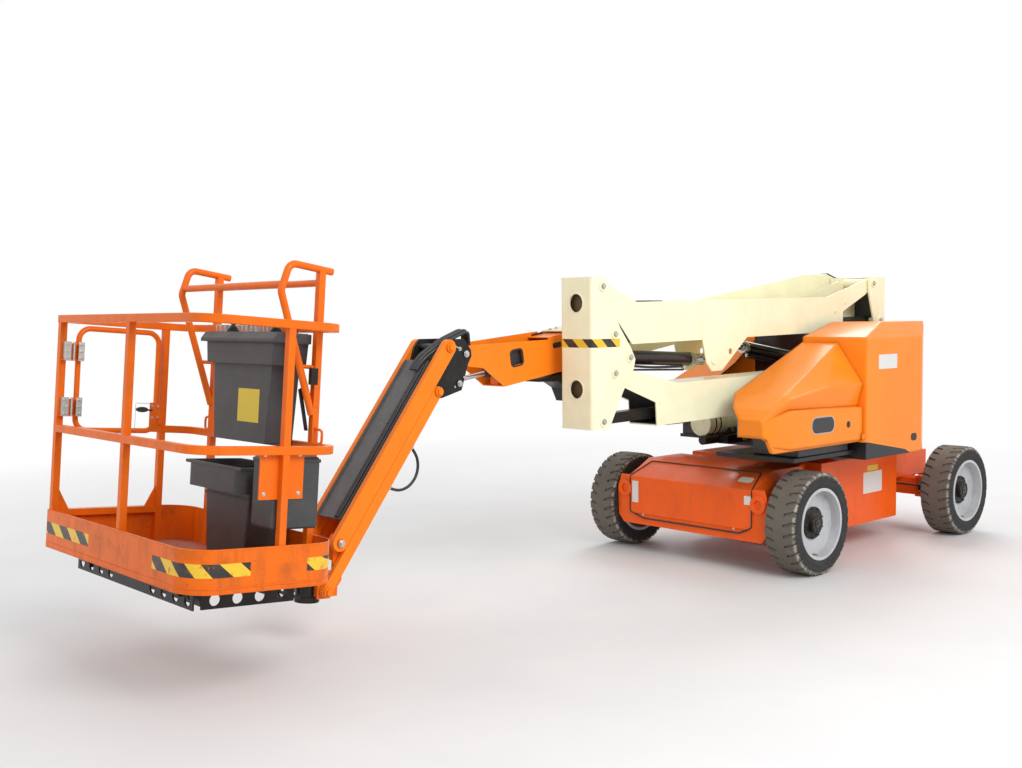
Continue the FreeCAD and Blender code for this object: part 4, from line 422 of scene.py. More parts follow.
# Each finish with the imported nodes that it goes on
FINISHES = (
    (ORANGE_CHASSIS, "chassis_frame drive_end_casing steer_axle counterweight"),
    (TURNTABLE_PAINT, "turntable_frame"),
    (ORANGE_STEEL, "platform_rails platform_gate"),
    (SCRAPED_ORANGE, "platform_floor"),
    (ORANGE_JIB, "fly_boom jib_arm jib_link"),
    (LEFT_COVER, "rear_cover_left hood_left"),
    (RIGHT_COVER, "rear_cover_right hood_right"),
    (CREAM_STEEL, "lower_boom front_upright upper_boom rear_upright main_boom"),
    (MOTOR_GREEN, "power_unit"),
    (BLACK_STEEL, "drive_axle knuckle_left knuckle_right tie_rod " + at_corners("hub")),
    (BLACK_FRAME, "jib_bracket platform_rotator platform_carrier boom_end_guard lower_link upper_link"),
    (ORANGE_STEEL, "platform_support"),
    (CYLINDER_BLACK, "lower_cylinder_barrel upper_cylinder_barrel main_cylinder_barrel level_barrel"),
    (ROD_CHROME, "lower_cylinder_rod upper_cylinder_rod main_cylinder_rod level_rod"),
    (SILVER_RIM, at_corners("rim")),
    (TYRE_RUBBER, at_corners("tyre")),
    (CAST_GREY, "slew_ring"),
    (GREY_MOULDING, "jib_cover"),
    (DARK_MOULDING, "tool_tray platform_boxes battery_packs control_console"),
    (HOSE_RUBBER, "jib_hose"),
)


def add_rounding(item, width, segments, angle):
    """Rounds an object's sharp edges and keeps its flat faces flat."""
    rounding = item.modifiers.new("Rounded edges", "BEVEL")
    rounding.width = width
    rounding.segments = segments
    rounding.limit_method = "ANGLE"
    rounding.angle_limit = math.radians(angle)
    rounding.harden_normals = True


def dress(name, material):
    """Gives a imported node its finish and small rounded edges."""
    item = NODES[name]
    item.data.materials.clear()
    item.data.materials.append(material)
    weld = item.modifiers.new("Join faces", "WELD")
    weld.merge_threshold = 0.00002
    add_rounding(item, ROUNDED.get(name, 0.002), 4 if name in ROUNDED else 2, 32)
    for face in item.data.polygons:
        face.use_smooth = True
    smooth = item.modifiers.new("Face shading", "WEIGHTED_NORMAL")
    smooth.keep_sharp = True


# Pieces with larger rounded edges than the rest
ROUNDED = {"control_console": 0.009, "platform_boxes": 0.014, "tool_tray": 0.01, "hood_left": 0.004,
           "hood_right": 0.004, "battery_packs": 0.008, "boom_end_guard": 0.005}

for finish, names in FINISHES:
    for node_name in names.split():
        dress(node_name, finish)


# Mesh work: each helper adds to a mesh in the piece's own frame, in metres

def circle(radius, count):
    """Points round a circle, as pairs."""
    return [(radius * math.cos(angle), radius * math.sin(angle))
            for angle in (k * math.tau / count for k in range(count))]


def arc(centre, radius, start, end, steps=10):
    """Points on an arc in a plane, between two angles in degrees."""
    angles = [math.radians(start + (end - start) * n / steps) for n in range(steps + 1)]
    return [(centre[0] + radius * math.cos(angle), centre[1] + radius * math.sin(angle)) for angle in angles]


def bridge(work, rings, closed=False):
    """Faces from ring to ring of corners: back to the first if closed, else with a face at each end."""
    for near, far in zip(rings, rings[1:] + rings[:closed]):
        for k, corner in enumerate(near):
            m = (k + 1) % len(near)
            work.faces.new((corner, near[m], far[m], far[k]) if len(far) > 1 else (corner, near[m], far[0]))
    if not closed:
        work.faces.new(rings[0][::-1])
        if len(rings[-1]) > 1:
            work.faces.new(rings[-1])


def box(work, x, y, z):
    """A box between two values on each axis."""
    spans = (x, y, z)
    size = [high - low for low, high in spans]
    middle = [(low + high) / 2 for low, high in spans]
    bmesh.ops.create_cube(work, size=1.0, matrix=Matrix.Translation(middle) @ Matrix.Diagonal((*size, 1)))


def bar(work, start, end, radius, sides=20, far_radius=None):
    """A round bar, cone or hexagon between two points."""
    start, end = Vector(start), Vector(end)
    turn = (end - start).to_track_quat("Z", "Y").to_matrix().to_4x4()
    bmesh.ops.create_cone(work, cap_ends=True, segments=sides, radius1=radius,
                          radius2=radius if far_radius is None else far_radius, depth=(end - start).length,
                          matrix=Matrix.Translation((start + end) / 2) @ turn)


def prism(work, outline, axis, low, high):
    """An outline given thickness along an axis; its corners are on the other two axes, in X, Y, Z order."""
    def spot(a, b, along):
        return {"X": (along, a, b), "Y": (a, along, b), "Z": (a, b, along)}[axis]
    bridge(work, [[work.verts.new(spot(a, b, along)) for a, b in outline] for along in (low, high)])


def round_path(points, bend, steps=4, closed=False):
    """A path whose corners are rounded."""
    points = [Vector(point) for point in points]
    count = len(points)
    path = []
    for n, corner in enumerate(points):
        if not closed and n in (0, count - 1):
            path.append(corner)
            continue
        before, after = points[n - 1] - corner, points[(n + 1) % count] - corner
        first, last = (corner + side.normalized() * min(bend, side.length * 0.49) for side in (before, after))
        for step in range(steps + 1):
            t = step / steps
            path.append(first * (1 - t) ** 2 + corner * 2 * t * (1 - t) + last * t ** 2)
    return path


def tube(work, points, radius, sides=10, bend=0.03, steps=4, closed=False):
    """A tube or hose along straight runs with bent corners."""
    path = round_path(points, bend, steps, closed)
    count = len(path)
    rings = []
    side = None
    for n, spot in enumerate(path):
        ahead = path[(n + 1) % count] if closed or n < count - 1 else spot
        behind = path[n - 1] if closed or n else spot
        way = (ahead - behind).normalized()
        if side is None:
            side = way.orthogonal().normalized()
        side = (side - way * side.dot(way)).normalized()
        up = way.cross(side)
        rings.append([work.verts.new(spot + side * a + up * b) for a, b in circle(radius, sides)])
    bridge(work, rings, closed)


def strip(work, path, low, high, out=0.0006, depth=0.001):
    """Tape or a rib on an upright face: a path seen from above, its left side against the face."""
    path = [Vector((*point, 0)) for point in path]
    rows = []
    for n, spot in enumerate(path):
        way = (path[min(n + 1, len(path) - 1)] - path[max(n - 1, 0)]).normalized()
        away = Vector((way.y, -way.x, 0))
        rows.append([work.verts.new((*(spot + away * shift).xy, z))
                     for shift, z in ((out, low), (out, high), (out - depth, high), (out - depth, low))])
    bridge(work, rows)


def turned(work, base, profile, sides=24):
    """A turned piece on an upright axis, from radius and height pairs; a radius of 0 is its tip."""
    rounds = [(circle(radius, sides) if radius else ((0, 0),), height) for radius, height in profile]
    bridge(work, [[work.verts.new((base[0] + x, base[1] + y, base[2] + height)) for x, y in spots]
                  for spots, height in rounds])


def rim_frame(work, x, y, width, z):
    """A flat band round a rectangle."""
    bridge(work, [[work.verts.new((x[i] + inset * (1 - 2 * i), y[j] + inset * (1 - 2 * j), level))
                   for i, j in ((0, 0), (1, 0), (1, 1), (0, 1))]
                  for inset, level in ((0, z[0]), (0, z[1]), (width, z[1]), (width, z[0]))], True)


def ring(work, middle, way, inner, outer, high, sides=32):
    """A flat ring that stands on a face, its foot a little inside it."""
    foot = -0.002
    place = Matrix.Translation(middle) @ Vector(way).to_track_quat("Z", "Y").to_matrix().to_4x4()
    bridge(work, [[work.verts.new(place @ Vector((x, y, level))) for x, y in circle(radius, sides)]
                  for radius, level in ((inner, foot), (inner, high), (outer, high), (outer, foot))], True)


def plaque(work, x, y, z, round_off, axis="Y"):
    """A thin plate with rounded corners across an axis, from its spans."""
    (a0, a1), (b0, b1), (low, high) = {"X": (y, z, x), "Y": (x, z, y), "Z": (x, y, z)}[axis]
    r = round_off
    centres = ((a1 - r, b1 - r), (a0 + r, b1 - r), (a0 + r, b0 + r), (a1 - r, b0 + r))
    outline = [spot for n, centre in enumerate(centres) for spot in arc(centre, r, 90 * n, 90 * n + 90, 5)]
    prism(work, outline, axis, low, high)


def bolts(work, spots, way, radius):
    """Hexagon bolt heads on washers, all facing one way."""
    way = Vector(way).normalized()
    for spot in spots:
        spot = Vector(spot)
        bar(work, spot - way * radius * 0.3, spot + way * radius * 0.22, radius * 1.4, 18)
        bar(work, spot, spot + way * radius * 0.85, radius, 6)


def piece(name, place, body, material, bevel, *shapes, angle=32):
    """A piece made of shapes, each a mesh helper followed by its values, that rides a body, or none yet."""
    work = bmesh.new()
    for helper, *values in shapes:
        helper(work, *values)
    bmesh.ops.recalc_face_normals(work, faces=work.faces)
    data = bpy.data.meshes.new(name)
    work.to_mesh(data)
    work.free()
    data.materials.append(material)
    for face in data.polygons:
        face.use_smooth = True
    item = bpy.data.objects.new(name, data)
    item.matrix_world = place
    bpy.context.scene.collection.objects.link(item)
    if bevel:
        add_rounding(item, bevel, 2, angle)
    else:
        data.set_sharp_from_angle(angle=math.radians(angle))
    if body:
        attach(item, body)
    return item


# Wheels

WHEEL_Z = 0.335
WHEEL_PLACES = [(x, y) for x in (-0.96267, -2.97267) for y in (0.7775, -0.7425)]
TREAD_PITCHES, TREAD_SLANT, TREAD_STAGGER = 30, 5.0, 0.25
# Lines across the tread in each pitch: share of the pitch, and 1 in a groove
TREAD_LINES = ((0.0, 0), (0.7, 0), (0.76, 1), (0.94, 1))
# From the middle to the bead: place across, radius and depth of groove
TREAD_ROWS = (
    (0, 0.335, 0), (0.036, 0.335, 0), (0.041, 0.3348, 0.01), (0.07, 0.3346, 0.014), (0.098, 0.3335, 0.016),
    (0.105, 0.3245, 0.018), (0.1135, 0.306, 0.012), (0.1148, 0.2985, 0), (0.1148, 0.288, 0),
    (0.1136, 0.286, 0), (0.1136, 0.272, 0), (0.1148, 0.27, 0), (0.1148, 0.262, 0), (0.107, 0.24, 0),
    (0.1035, 0.2335, 0), (0.1035, 0.2225, 0))


def solid_tyre(work):
    """Solid tyre with slanted grooves from each shoulder, staggered from side to side."""
    rings = []
    far_side = [(-y, radius, cut) for y, radius, cut in reversed(TREAD_ROWS[1:])]
    for y, radius, cut in far_side + list(TREAD_ROWS):
        stagger = math.copysign(TREAD_STAGGER, y) if y else 0.0
        corners = []
        for pitch in range(TREAD_PITCHES):
            for share, sunk in TREAD_LINES:
                angle = math.tau * (pitch + share + stagger + TREAD_SLANT * min(abs(y), 0.1)) / TREAD_PITCHES
                reach = radius - cut * sunk
                corners.append(work.verts.new((reach * math.cos(angle), y, reach * math.sin(angle))))
        rings.append(corners)
    bridge(work, rings, True)


def build_wheel(corner, x, y):
    """Tyre, wheel nuts on the rim's disc, cap screws on the hub, and a valve."""
    place, body, side = Matrix.Translation((x, y, WHEEL_Z)), "wheel_" + corner, math.copysign(1, y)

    def rod(spot, near, far, radius, sides):
        return bar, (spot[0], side * near, spot[1]), (spot[0], side * far, spot[1]), radius, sides

    tyre = piece("worn_tyre_" + corner, place, body, TYRE_RUBBER, 0.0009, (solid_tyre,), angle=24)
    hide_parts("tyre_" + corner)
    nuts, valve = circle(0.095, 9), (0.03, -0.198)
    piece("wheel_nuts_" + corner, place, body, DARK_BOLT, 0.0004,
        (bolts, [(nut_x, side * 0.0445, nut_z) for nut_x, nut_z in nuts], (0, side, 0), 0.0085),
        *(rod(spot, 0.0445, 0.0605, 0.004, 8) for spot in nuts))
    piece("hub_screws_" + corner, place, body, DARK_BOLT, 0.0004,
        *(rod(spot, 0.0782, 0.0832, 0.0055, 12) for spot in circle(0.047, 8)),
        rod((0, 0), 0.0775, 0.0825, 0.026, 32), rod((0, 0), 0.08, 0.087, 0.009, 6))
    piece("rim_valve_" + corner, place, body, VALVE_BRASS, 0.0004,
        rod(valve, 0.06, 0.085, 0.006, 10), rod(valve, 0.085, 0.096, 0.0045, 10))


for wheel_corner, wheel_place in zip(CORNERS, WHEEL_PLACES):
    build_wheel(wheel_corner, *wheel_place)


# Platform: toe board, gate, fittings, console and tool tray

FRONT_X, END_Y, CORNER = 1.162, 0.76, 0.15
FRONT_CENTRE, REAR_CENTRE = (1.012, 0.61), (0.567, 0.61)
FRONT_ROUND = [(FRONT_X, 0.61)] + arc(FRONT_CENTRE, CORNER, 0, 90)[1:]
TOE_TAPES = {
    "gate_end": [(FRONT_X, -0.755), (FRONT_X, -0.246)],
    "front_corner": [(FRONT_X, 0.42)] + FRONT_ROUND + [(0.88, END_Y)],
    "rear_corner": [(0.6, END_Y)] + arc(REAR_CENTRE, CORNER, 90, 158),
}
# Rolled beads along the toe board: low, high, standing out, depth
TOE_BEADS = ((-0.05, -0.044, 0.003, 0.003), (-0.0725, -0.069, 0.0022, 0.003), (0.1105, 0.1168, 0.0012, 0.002))


def on_platform(name, material, bevel, *shapes, body="platform"):
    """A piece in the platform's frame."""
    return piece(name, PLATFORM, body, material, bevel, *shapes)


def build_toe_board():
    """Hazard tape and rolled beads round the toe board."""
    for label, path in TOE_TAPES.items():
        on_platform("toe_tape_" + label, TOE_TAPE, 0, (strip, path, -0.002, 0.056))
    path = [(FRONT_X, -0.757)] + FRONT_ROUND + arc(REAR_CENTRE, CORNER, 90, 158)
    on_platform("toe_board_beads", ORANGE_STEEL, 0.0004, *((strip, path, *bead) for bead in TOE_BEADS))


def build_gate_hinges():
    """Two hinges, each a fixed leaf on the post and a leaf on the gate, with three bolts at each edge."""
    axis_x, half, face, levels = 1.094, 0.048, -0.6915, (0.637, 0.917)
    spans = [(level - half, level + half) for level in levels]
    for label, body, inner, outer, edge in (("post", "platform", 1.1095, 1.143, 1.1395),
                                            ("gate", "gate", 1.042, 1.0725, 1.0455)):
        on_platform("hinge_leaves_" + label, HINGE_STEEL, 0.0008,
            *((box, (inner, outer), (face, face + 0.004), span) for span in spans),
            *((box, (edge - 0.003, edge + 0.003), (-0.7195, face + 0.002), span) for span in spans),
            body=body)
        spots = [(x, face + 0.004, level + z) for level in levels for x in (inner + 0.009, outer - 0.01)
                 for z in (-0.034, 0, 0.034)]
        on_platform("hinge_bolts_" + label, BOLT_ZINC, 0.0003, (bolts, spots, (0, 1, 0), 0.0052), body=body)
    on_platform("hinge_barrels", HINGE_STEEL, 0.0006,
        *((bar, (axis_x, face, low), (axis_x, face, high), 0.0062, 16) for low, high in spans))


def build_gate_latch():
    """Latch plate on the gate's free post, with its bolts, a black grip and a wire stay."""
    back, front, wire_y = -0.7225, -0.7185, -0.7205
    grip = [(0.708 + 0.034 * x, 0.63 + 0.0145 * z) for x, z in circle(1, 20)]
    on_platform("latch_plate", ORANGE_STEEL, 0.001,
        (prism, [(0.6, 0.512), (0.664, 0.512), (0.664, 0.668), (0.6, 0.668)], "Y", back, front),
        (box, (0.594, 0.618), (front, -0.7085), (0.552, 0.59)), body="gate")
    on_platform("latch_bolts", BOLT_ZINC, 0.0003,
        (bolts, [(x, front, z) for x in (0.618, 0.65) for z in (0.588, 0.65)], (0, 1, 0), 0.0048),
        body="gate")
    on_platform("latch_grip", BLACK_RUBBER, 0.003,
        (bar, (0.65, -0.7145, 0.628), (0.682, -0.7145, 0.628), 0.0045, 12),
        (prism, grip, "Y", -0.7215, -0.7085), body="gate")
    on_platform("latch_wire", BOLT_ZINC, 0,
        (tube, [(0.664, wire_y, 0.662), (0.742, wire_y, 0.664), (0.742, wire_y, 0.522)], 0.0016, 6, 0.006),
        body="gate")


def build_platform_fittings():
    """Lashing rings, short bars, bolts, foot switch, bar under the floor, floor sheet and bracket."""
    x = 0.44
    on_platform("lashing_rings", ORANGE_STEEL, 0,
        *((tube, [(x, y, 0.54), (x, y + out, 0.546), (x, y + out, 0.606), (x, y, 0.612)], 0.0062, 10, 0.018)
          for y, out in ((0.5265, 0.058), (-0.4665, -0.058))),
        *((bar, (x, y, 0.897), (0.528, y, 0.897), 0.0095, 12) for y in (-0.45, 0.51)))
    on_platform("end_plate_bolts", BOLT_ZINC, 0.0003,
        (bolts, [(x, 0.7215, z) for x in (0.64, 0.814) for z in (0.338, 0.508)], (0, 1, 0), 0.0065))
    x, near, far = 0.76, 0.305, 0.515
    on_platform("foot_switch_guard", ORANGE_STEEL, 0,
        (tube, [(x, near, -0.064), (x, near, 0.026), (x, far, 0.026), (x, far, -0.064)], 0.007, 10, 0.03))
    on_platform("foot_switch", BLACK_RUBBER, 0.003,
        (prism, [(0.7, -0.0665), (0.82, -0.0665), (0.82, -0.05), (0.705, -0.028)], "Y", 0.335, 0.485))
    x = 1.06
    on_platform("sensor_bar", BLACK_FRAME, 0.001,
        (bar, (x, -0.5, -0.094), (x, 0.5, -0.094), 0.012, 16),
        *((bar, (x, y - 0.03, -0.098), (x, y + 0.06, -0.098), 0.022, 20) for y in (-0.5, 0.44)),
        *((box, (x - 0.025, x + 0.025), (y, y + 0.028), (-0.094, -0.0735)) for y in (-0.5, 0.44)))
    inset = 0.1425
    outline = ([(1.1545, -0.752)] + arc(FRONT_CENTRE, inset, 0, 90) + arc(REAR_CENTRE, inset, 90, 180)
               + arc((REAR_CENTRE[0], -REAR_CENTRE[1]), inset, 180, 270))
    on_platform("floor_sheet", ORANGE_TRAY, 0, (prism, outline, "Z", -0.0668, -0.0655))
    on_platform("console_bracket", BLACK_FRAME, 0.001,
        (box, (0.458, 0.492), (0.528, 0.556), (0.815, 0.892)),
        (prism, [(0.458, 0.6), (0.476, 0.6), (0.52, 0.79), (0.502, 0.8)], "Y", 0.488, 0.494))


CONSOLE_TOP = 1.047
PANEL_TOP = CONSOLE_TOP + 0.003
# Toggles: X of each row, then Y of each toggle
SWITCH_ROWS = ((0.535, (-0.13, -0.085, -0.04, 0.03, 0.075, 0.12, 0.19, 0.235)),
               (0.585, (-0.13, -0.085, 0.12, 0.165, 0.21)))
JOYSTICKS = ((0.56, 0.34), (0.59, -0.01))
# Radius and height of a joystick's gaiter and knob, and of the stop button
JOYSTICK = ((0.03, 0), (0.03, 0.004), (0.026, 0.006), (0.028, 0.011), (0.021, 0.014), (0.023, 0.019),
            (0.016, 0.022), (0.018, 0.027), (0.01, 0.029), (0.009, 0.034), (0.013, 0.038), (0.0165, 0.046),
            (0.016, 0.053), (0.01, 0.058), (0, 0.059))
STOP_BUTTON = ((0.014, 0), (0.014, 0.014), (0.021, 0.018), (0.021, 0.026), (0.016, 0.031), (0, 0.032))


def build_console():
    """Panel on the lid with toggles between guards, two joysticks and a stop button, and the lid's seam."""
    on_platform("control_panel", PANEL_BLACK, 0.0012,
        (box, (0.468, 0.636), (-0.172, 0.472), (CONSOLE_TOP, PANEL_TOP)))
    guards, levers = [], []
    for x, y in ((x, y) for x, row in SWITCH_ROWS for y in row):
        levers += [(bar, (x, y, PANEL_TOP), (x, y, PANEL_TOP + 0.007), 0.0085, 12),
                   (bar, (x, y, PANEL_TOP + 0.005), (x + 0.003, y, PANEL_TOP + 0.027), 0.0028, 10, 0.0036)]
        for side_y in (y - 0.0165, y + 0.0165):
            hoop = [(x + reach, side_y, CONSOLE_TOP + rise)
                    for reach, rise in ((-0.022, 0.002), (-0.022, 0.036), (0.022, 0.036), (0.022, 0.002))]
            guards.append((tube, hoop, 0.0026, 6, 0.008, 3))
    on_platform("switch_guards", PALE_PLASTIC, 0, *guards)
    on_platform("toggle_switches", BOLT_ZINC, 0, *levers)
    on_platform("joysticks", BLACK_RUBBER, 0, *((turned, (x, y, PANEL_TOP), JOYSTICK) for x, y in JOYSTICKS))
    on_platform("stop_button", STOP_RED, 0, (turned, (0.515, 0.43, PANEL_TOP), STOP_BUTTON))
    on_platform("lid_seam", BLACK_RUBBER, 0.0003, (box, (0.47, 0.6655), (-0.1905, 0.4905), (1.0005, 1.0025)))


def build_tray():
    """Rolled lip of the tool tray, its dividers, the boxes' lids and the console's blank label."""
    on_platform("tray_lip", DARK_MOULDING, 0.003,
        (rim_frame, (0.457, 0.7595), (-0.1025, 0.4225), 0.012, (0.408, 0.4235)),
        *((box, (0.468, 0.748), (y, y + 0.004), (0.31, 0.402)) for y in (0.05, 0.24)))
    on_platform("box_lids", DARK_MOULDING, 0.004,
        (box, (0.5235, 0.7705), (0.5415, 0.7175), (0.47, 0.486)),
        (box, (0.4585, 0.6725), (-0.0635, 0.3635), (0.262, 0.274)))
    on_platform("console_label", LABEL_YELLOW, 0.0003,
        (box, (0.6088, 0.6099), (0.105, 0.3), (0.622, 0.78)))


build_toe_board()
build_gate_hinges()
build_gate_latch()
build_platform_fittings()
build_console()
build_tray()


# Tower, booms and jib

def aimed(start, end, y):
    """Frame at a pin whose X points to another pin; both are in metres from the drive axle."""
    run, rise = end[0] - start[0], end[1] - start[1]
    return MACHINE @ tilted(start[0], y, start[1], -math.degrees(math.atan2(rise, run)))


TOWER_Y, BOOM_Y = 0.1625, -0.16
PIN_BOLT, PIN_HEAD, TOWER_REACH = 0.014, 0.019, 0.1415
MAST = MACHINE @ Matrix.Translation((0, TOWER_Y, 0))
MAST_PINS = ((-1.705, 1.4), (-1.6, 1.117), (-1.463, 0.975))
FRONT_PINS = ((0, 0), (0.107, 0.516), (0.105, -0.283), (0.002, 0.233), (-0.135, 0.091))
# Pins: label, body, frame, places in X and Z, how far out the heads stand, their radius and finish
PINS = (
    ("mast", "turntable", MAST, MAST_PINS, TOWER_REACH, PIN_BOLT, BOLT_ZINC),
    ("front", "tower_front", FRONT, FRONT_PINS, TOWER_REACH, PIN_BOLT, BOLT_ZINC),
    ("rear", "tower_rear", REAR, ((0, 0), (-0.105, -0.283)), TOWER_REACH, PIN_BOLT, BOLT_ZINC),
    ("tip", "tip_bracket", TIP, ((0, 0),), 0.119, PIN_BOLT, BOLT_ZINC),
    ("jib_root", "tip_bracket", JIB, ((0, 0),), 0.164, PIN_HEAD, ORANGE_JIB),
    ("link_root", "tip_bracket", JIB_LINK, ((0, 0),), 0.159, PIN_HEAD, ORANGE_JIB),
    ("jib_foot", "swing_support", JIB, ((1.24, 0),), 0.164, PIN_BOLT, BOLT_ZINC),
    ("link_foot", "swing_support", JIB_LINK, ((1.24, 0),), 0.159, PIN_HEAD, ORANGE_JIB))


def both_sides(spots, reach, radius):
    """Bolt heads at places in X and Z, on both sides."""
    return [(bolts, [(x, side * reach, z) for x, z in spots], (0, side, 0), radius) for side in (1, -1)]


def build_pin_bolts():
    """A bolt on a washer in the head of each tower pin, and painted heads on the jib's pins."""
    for label, body, place, spots, reach, radius, finish in PINS:
        piece("pin_heads_" + label, place, body, finish, 0.0004, *both_sides(spots, reach, radius))


def build_nose_linings():
    """Black lining inside the open nose of each tower boom, and on the rear upright's end plate."""
    web = [(2.3, -0.112), (2.9, -0.112), (2.652, -0.196), (2.644, -0.342), (2.3, -0.342)]
    foot = [(2.3, -0.342), (2.644, -0.342), (2.644, -0.339), (2.3, -0.339)]
    for body, place, facing in (("tower_lower", LOWER, 1), ("tower_upper", UPPER, -1)):
        piece("nose_lining_" + body, place, body, BLACK_RUBBER, 0,
            (prism, [(facing * x, z) for x, z in web], "Y", -0.1062, -0.103),
            (prism, [(facing * x, z) for x, z in foot], "Y", -0.103, 0.106))
    piece("rear_upright_lining", REAR, "tower_rear", BLACK_RUBBER, 0,
        (box, (-0.1625, -0.16), (-0.118, 0.118), (-0.32, -0.05)))


# Plugs in the sides of the tower booms: body, then places along and up
SIDE_PLUGS = (
    ("tower_upper", ((1.218, 1.664), (0.335, 1.618), (0.12, 1.622), (-1.102, 1.706), (-1.237, 1.771))),
    ("tower_lower", ((0.9, 1.144), (-0.313, 1.111))))


def build_side_plugs():
    """Domed plugs in the tower booms' sides, the same on both sides."""
    for body, spots in SIDE_PLUGS:
        domes = []
        for x, z in spots:
            for side in (1, -1):
                y = TOWER_Y + side * 0.1145
                domes += [(bar, (x, y - side * 0.002, z), (x, y + side * 0.003, z), 0.018, 24, 0.0165),
                          (bar, (x, y + side * 0.002, z), (x, y + side * 0.007, z), 0.011, 20, 0.008)]
        piece("side_plugs_" + body, MACHINE, body, CREAM_STEEL, 0.0006, *domes)


def build_front_face():
    """Tape round the front upright, rims of its two round holes, and stiffeners behind them in painted shade.
    """
    face, half, corner, foot, levels = 0.194, 0.1325, 0.026, -0.045, (-0.093, 0.418)
    path = ([(foot, -half), (face - corner, -half)] + arc((face - corner, corner - half), corner, -90, 0)[1:]
            + arc((face - corner, half - corner), corner, 0, 90) + [(foot, half)])
    piece("upright_tape", FRONT, "tower_front", UPRIGHT_TAPE, 0, (strip, path, 0.156, 0.206))
    piece("face_hole_rims", FRONT, "tower_front", CREAM_STEEL, 0.0008,
        *((ring, (face, 0, level), (1, 0, 0), 0.0545, 0.0625, 0.0022, 40) for level in levels))
    # Dark brown plates behind the holes: painted shade for the dark inside of the upright seen through them
    piece("inner_stiffeners", FRONT, "tower_front", SHADED_BROWN, 0.001,
        *((box, (0.15, 0.158), (-0.112, 0.112), (level - 0.1, level + 0.1)) for level in levels))


# Lift cylinders: body's name, frame, length of the barrel, and -1 with the ports below or 1 above
LIFTS = (("lower_lift", aimed((-1.463, 0.975), (-0.6475, 0.8936), TOWER_Y), 0.745, -1),
         ("upper_lift", aimed((1.2014, 1.4326), (0.3673, 1.3922), TOWER_Y), 0.745, 1),
         ("boom_lift", aimed((-1.6, 1.3), (-0.4195, 1.47), BOOM_Y), 1.05, -1))


def build_cylinder_fittings():
    """Gland ring, port blocks and the pressure pipes of each lift cylinder."""
    for label, place, length, side in LIFTS:
        foot, head = 0.105, length - 0.06
        piece("glands_" + label, place, label + "_barrel", BOLT_ZINC, 0.0006,
            (ring, (length, 0, 0), (1, 0, 0), 0.03, 0.0465, 0.003, 32),
            (bar, (length - 0.032, 0, 0), (length - 0.004, 0, 0), 0.0468, 40),
            *((bar, (x, 0, 0), (x, 0, side * reach), radius, sides) for x in (foot, head)
              for reach, radius, sides in ((0.06, 0.011, 6), (0.07, 0.0085, 12))))
        runs = [([(foot, 0, 0.06), (foot, 0, 0.078), (head, 0, 0.07), (head, 0, 0.052)], 0.0065, 0.02)]
        runs += [([(0.13, y, 0.052), (length * 0.5, y, 0.06), (length - 0.1, y, 0.05)], 0.0075, 0.08)
                 for y in (0.016, -0.016)]
        piece("pipes_" + label, place, label + "_barrel", HOSE_RUBBER, 0,
            *((tube, [(x, y, side * z) for x, y, z in run], radius, 10, bend) for run, radius, bend in runs))


def build_boom_details():
    """Rest pad, screws at the boom's nose, the fly's window edging and hose guides, and the tail cap."""
    piece("boom_rest_pad", MACHINE, "tower_upper", BLACK_RUBBER, 0.0015,
        (box, (0.87, 1.01), (TOWER_Y - 0.085, TOWER_Y + 0.1115), (1.7705, 1.7765)))
    pads = (2.91, 2.965)
    piece("wear_pad_screws", BOOM, "boom", BOLT_ZINC, 0.0003,
        *both_sides([(x, z) for x in pads for z in (-0.045, 0.135)], 0.1155, 0.009),
        (bolts, [(x, y, 0.1765) for x in pads for y in (-0.07, 0.07)], (0, 0, 1), 0.009))
    low_x, high_x, low_z, high_z = 3.377, 3.473, 0.037, 0.133
    window = ((low_x, low_z), (high_x, low_z), (high_x, high_z), (low_x, high_z))
    piece("window_edging", BOOM, "fly", BLACK_RUBBER, 0,
        *((tube, [(x, y, z) for x, z in window], 0.0055, 8, 0.026, 5, True) for y in (0.0965, -0.0965)))
    piece("hose_guides", BOOM, "fly", BLACK_RUBBER, 0.001,
        *((box, (3.365, 3.485), (y - 0.003, y + 0.003), (0.025, 0.145)) for y in (0.07, -0.07)),
        (plaque, (3.045, 3.12), (0.0958, 0.0972), (0.084, 0.118), 0.014),
        (plaque, (3.015, 3.12), (-0.0858, -0.084), (0.14, 0.172), 0.014))
    piece("tail_cap", BOOM, "boom", BLACK_RUBBER, 0.002,
        (prism, [(0.07, 0.1335), (0.066, 0.1445), (-0.06, 0.0895), (-0.056, 0.078)], "Y", 0.06, 0.1145))


# Hoses over the jib's knuckle, in the machine's frame: places along and up at the bends, then each hose's
# place across and its lift at the bends
KNUCKLE_ROUTE = ((2.535, 1.395), (2.49, 1.456), (2.334, 1.55), (2.19, 1.606), (2.155, 1.56), (2.145, 1.47))
KNUCKLE_SIDES = ((0.074, 0.0), (0.056, 0.011), (0.038, 0.001), (0.02, 0.012))


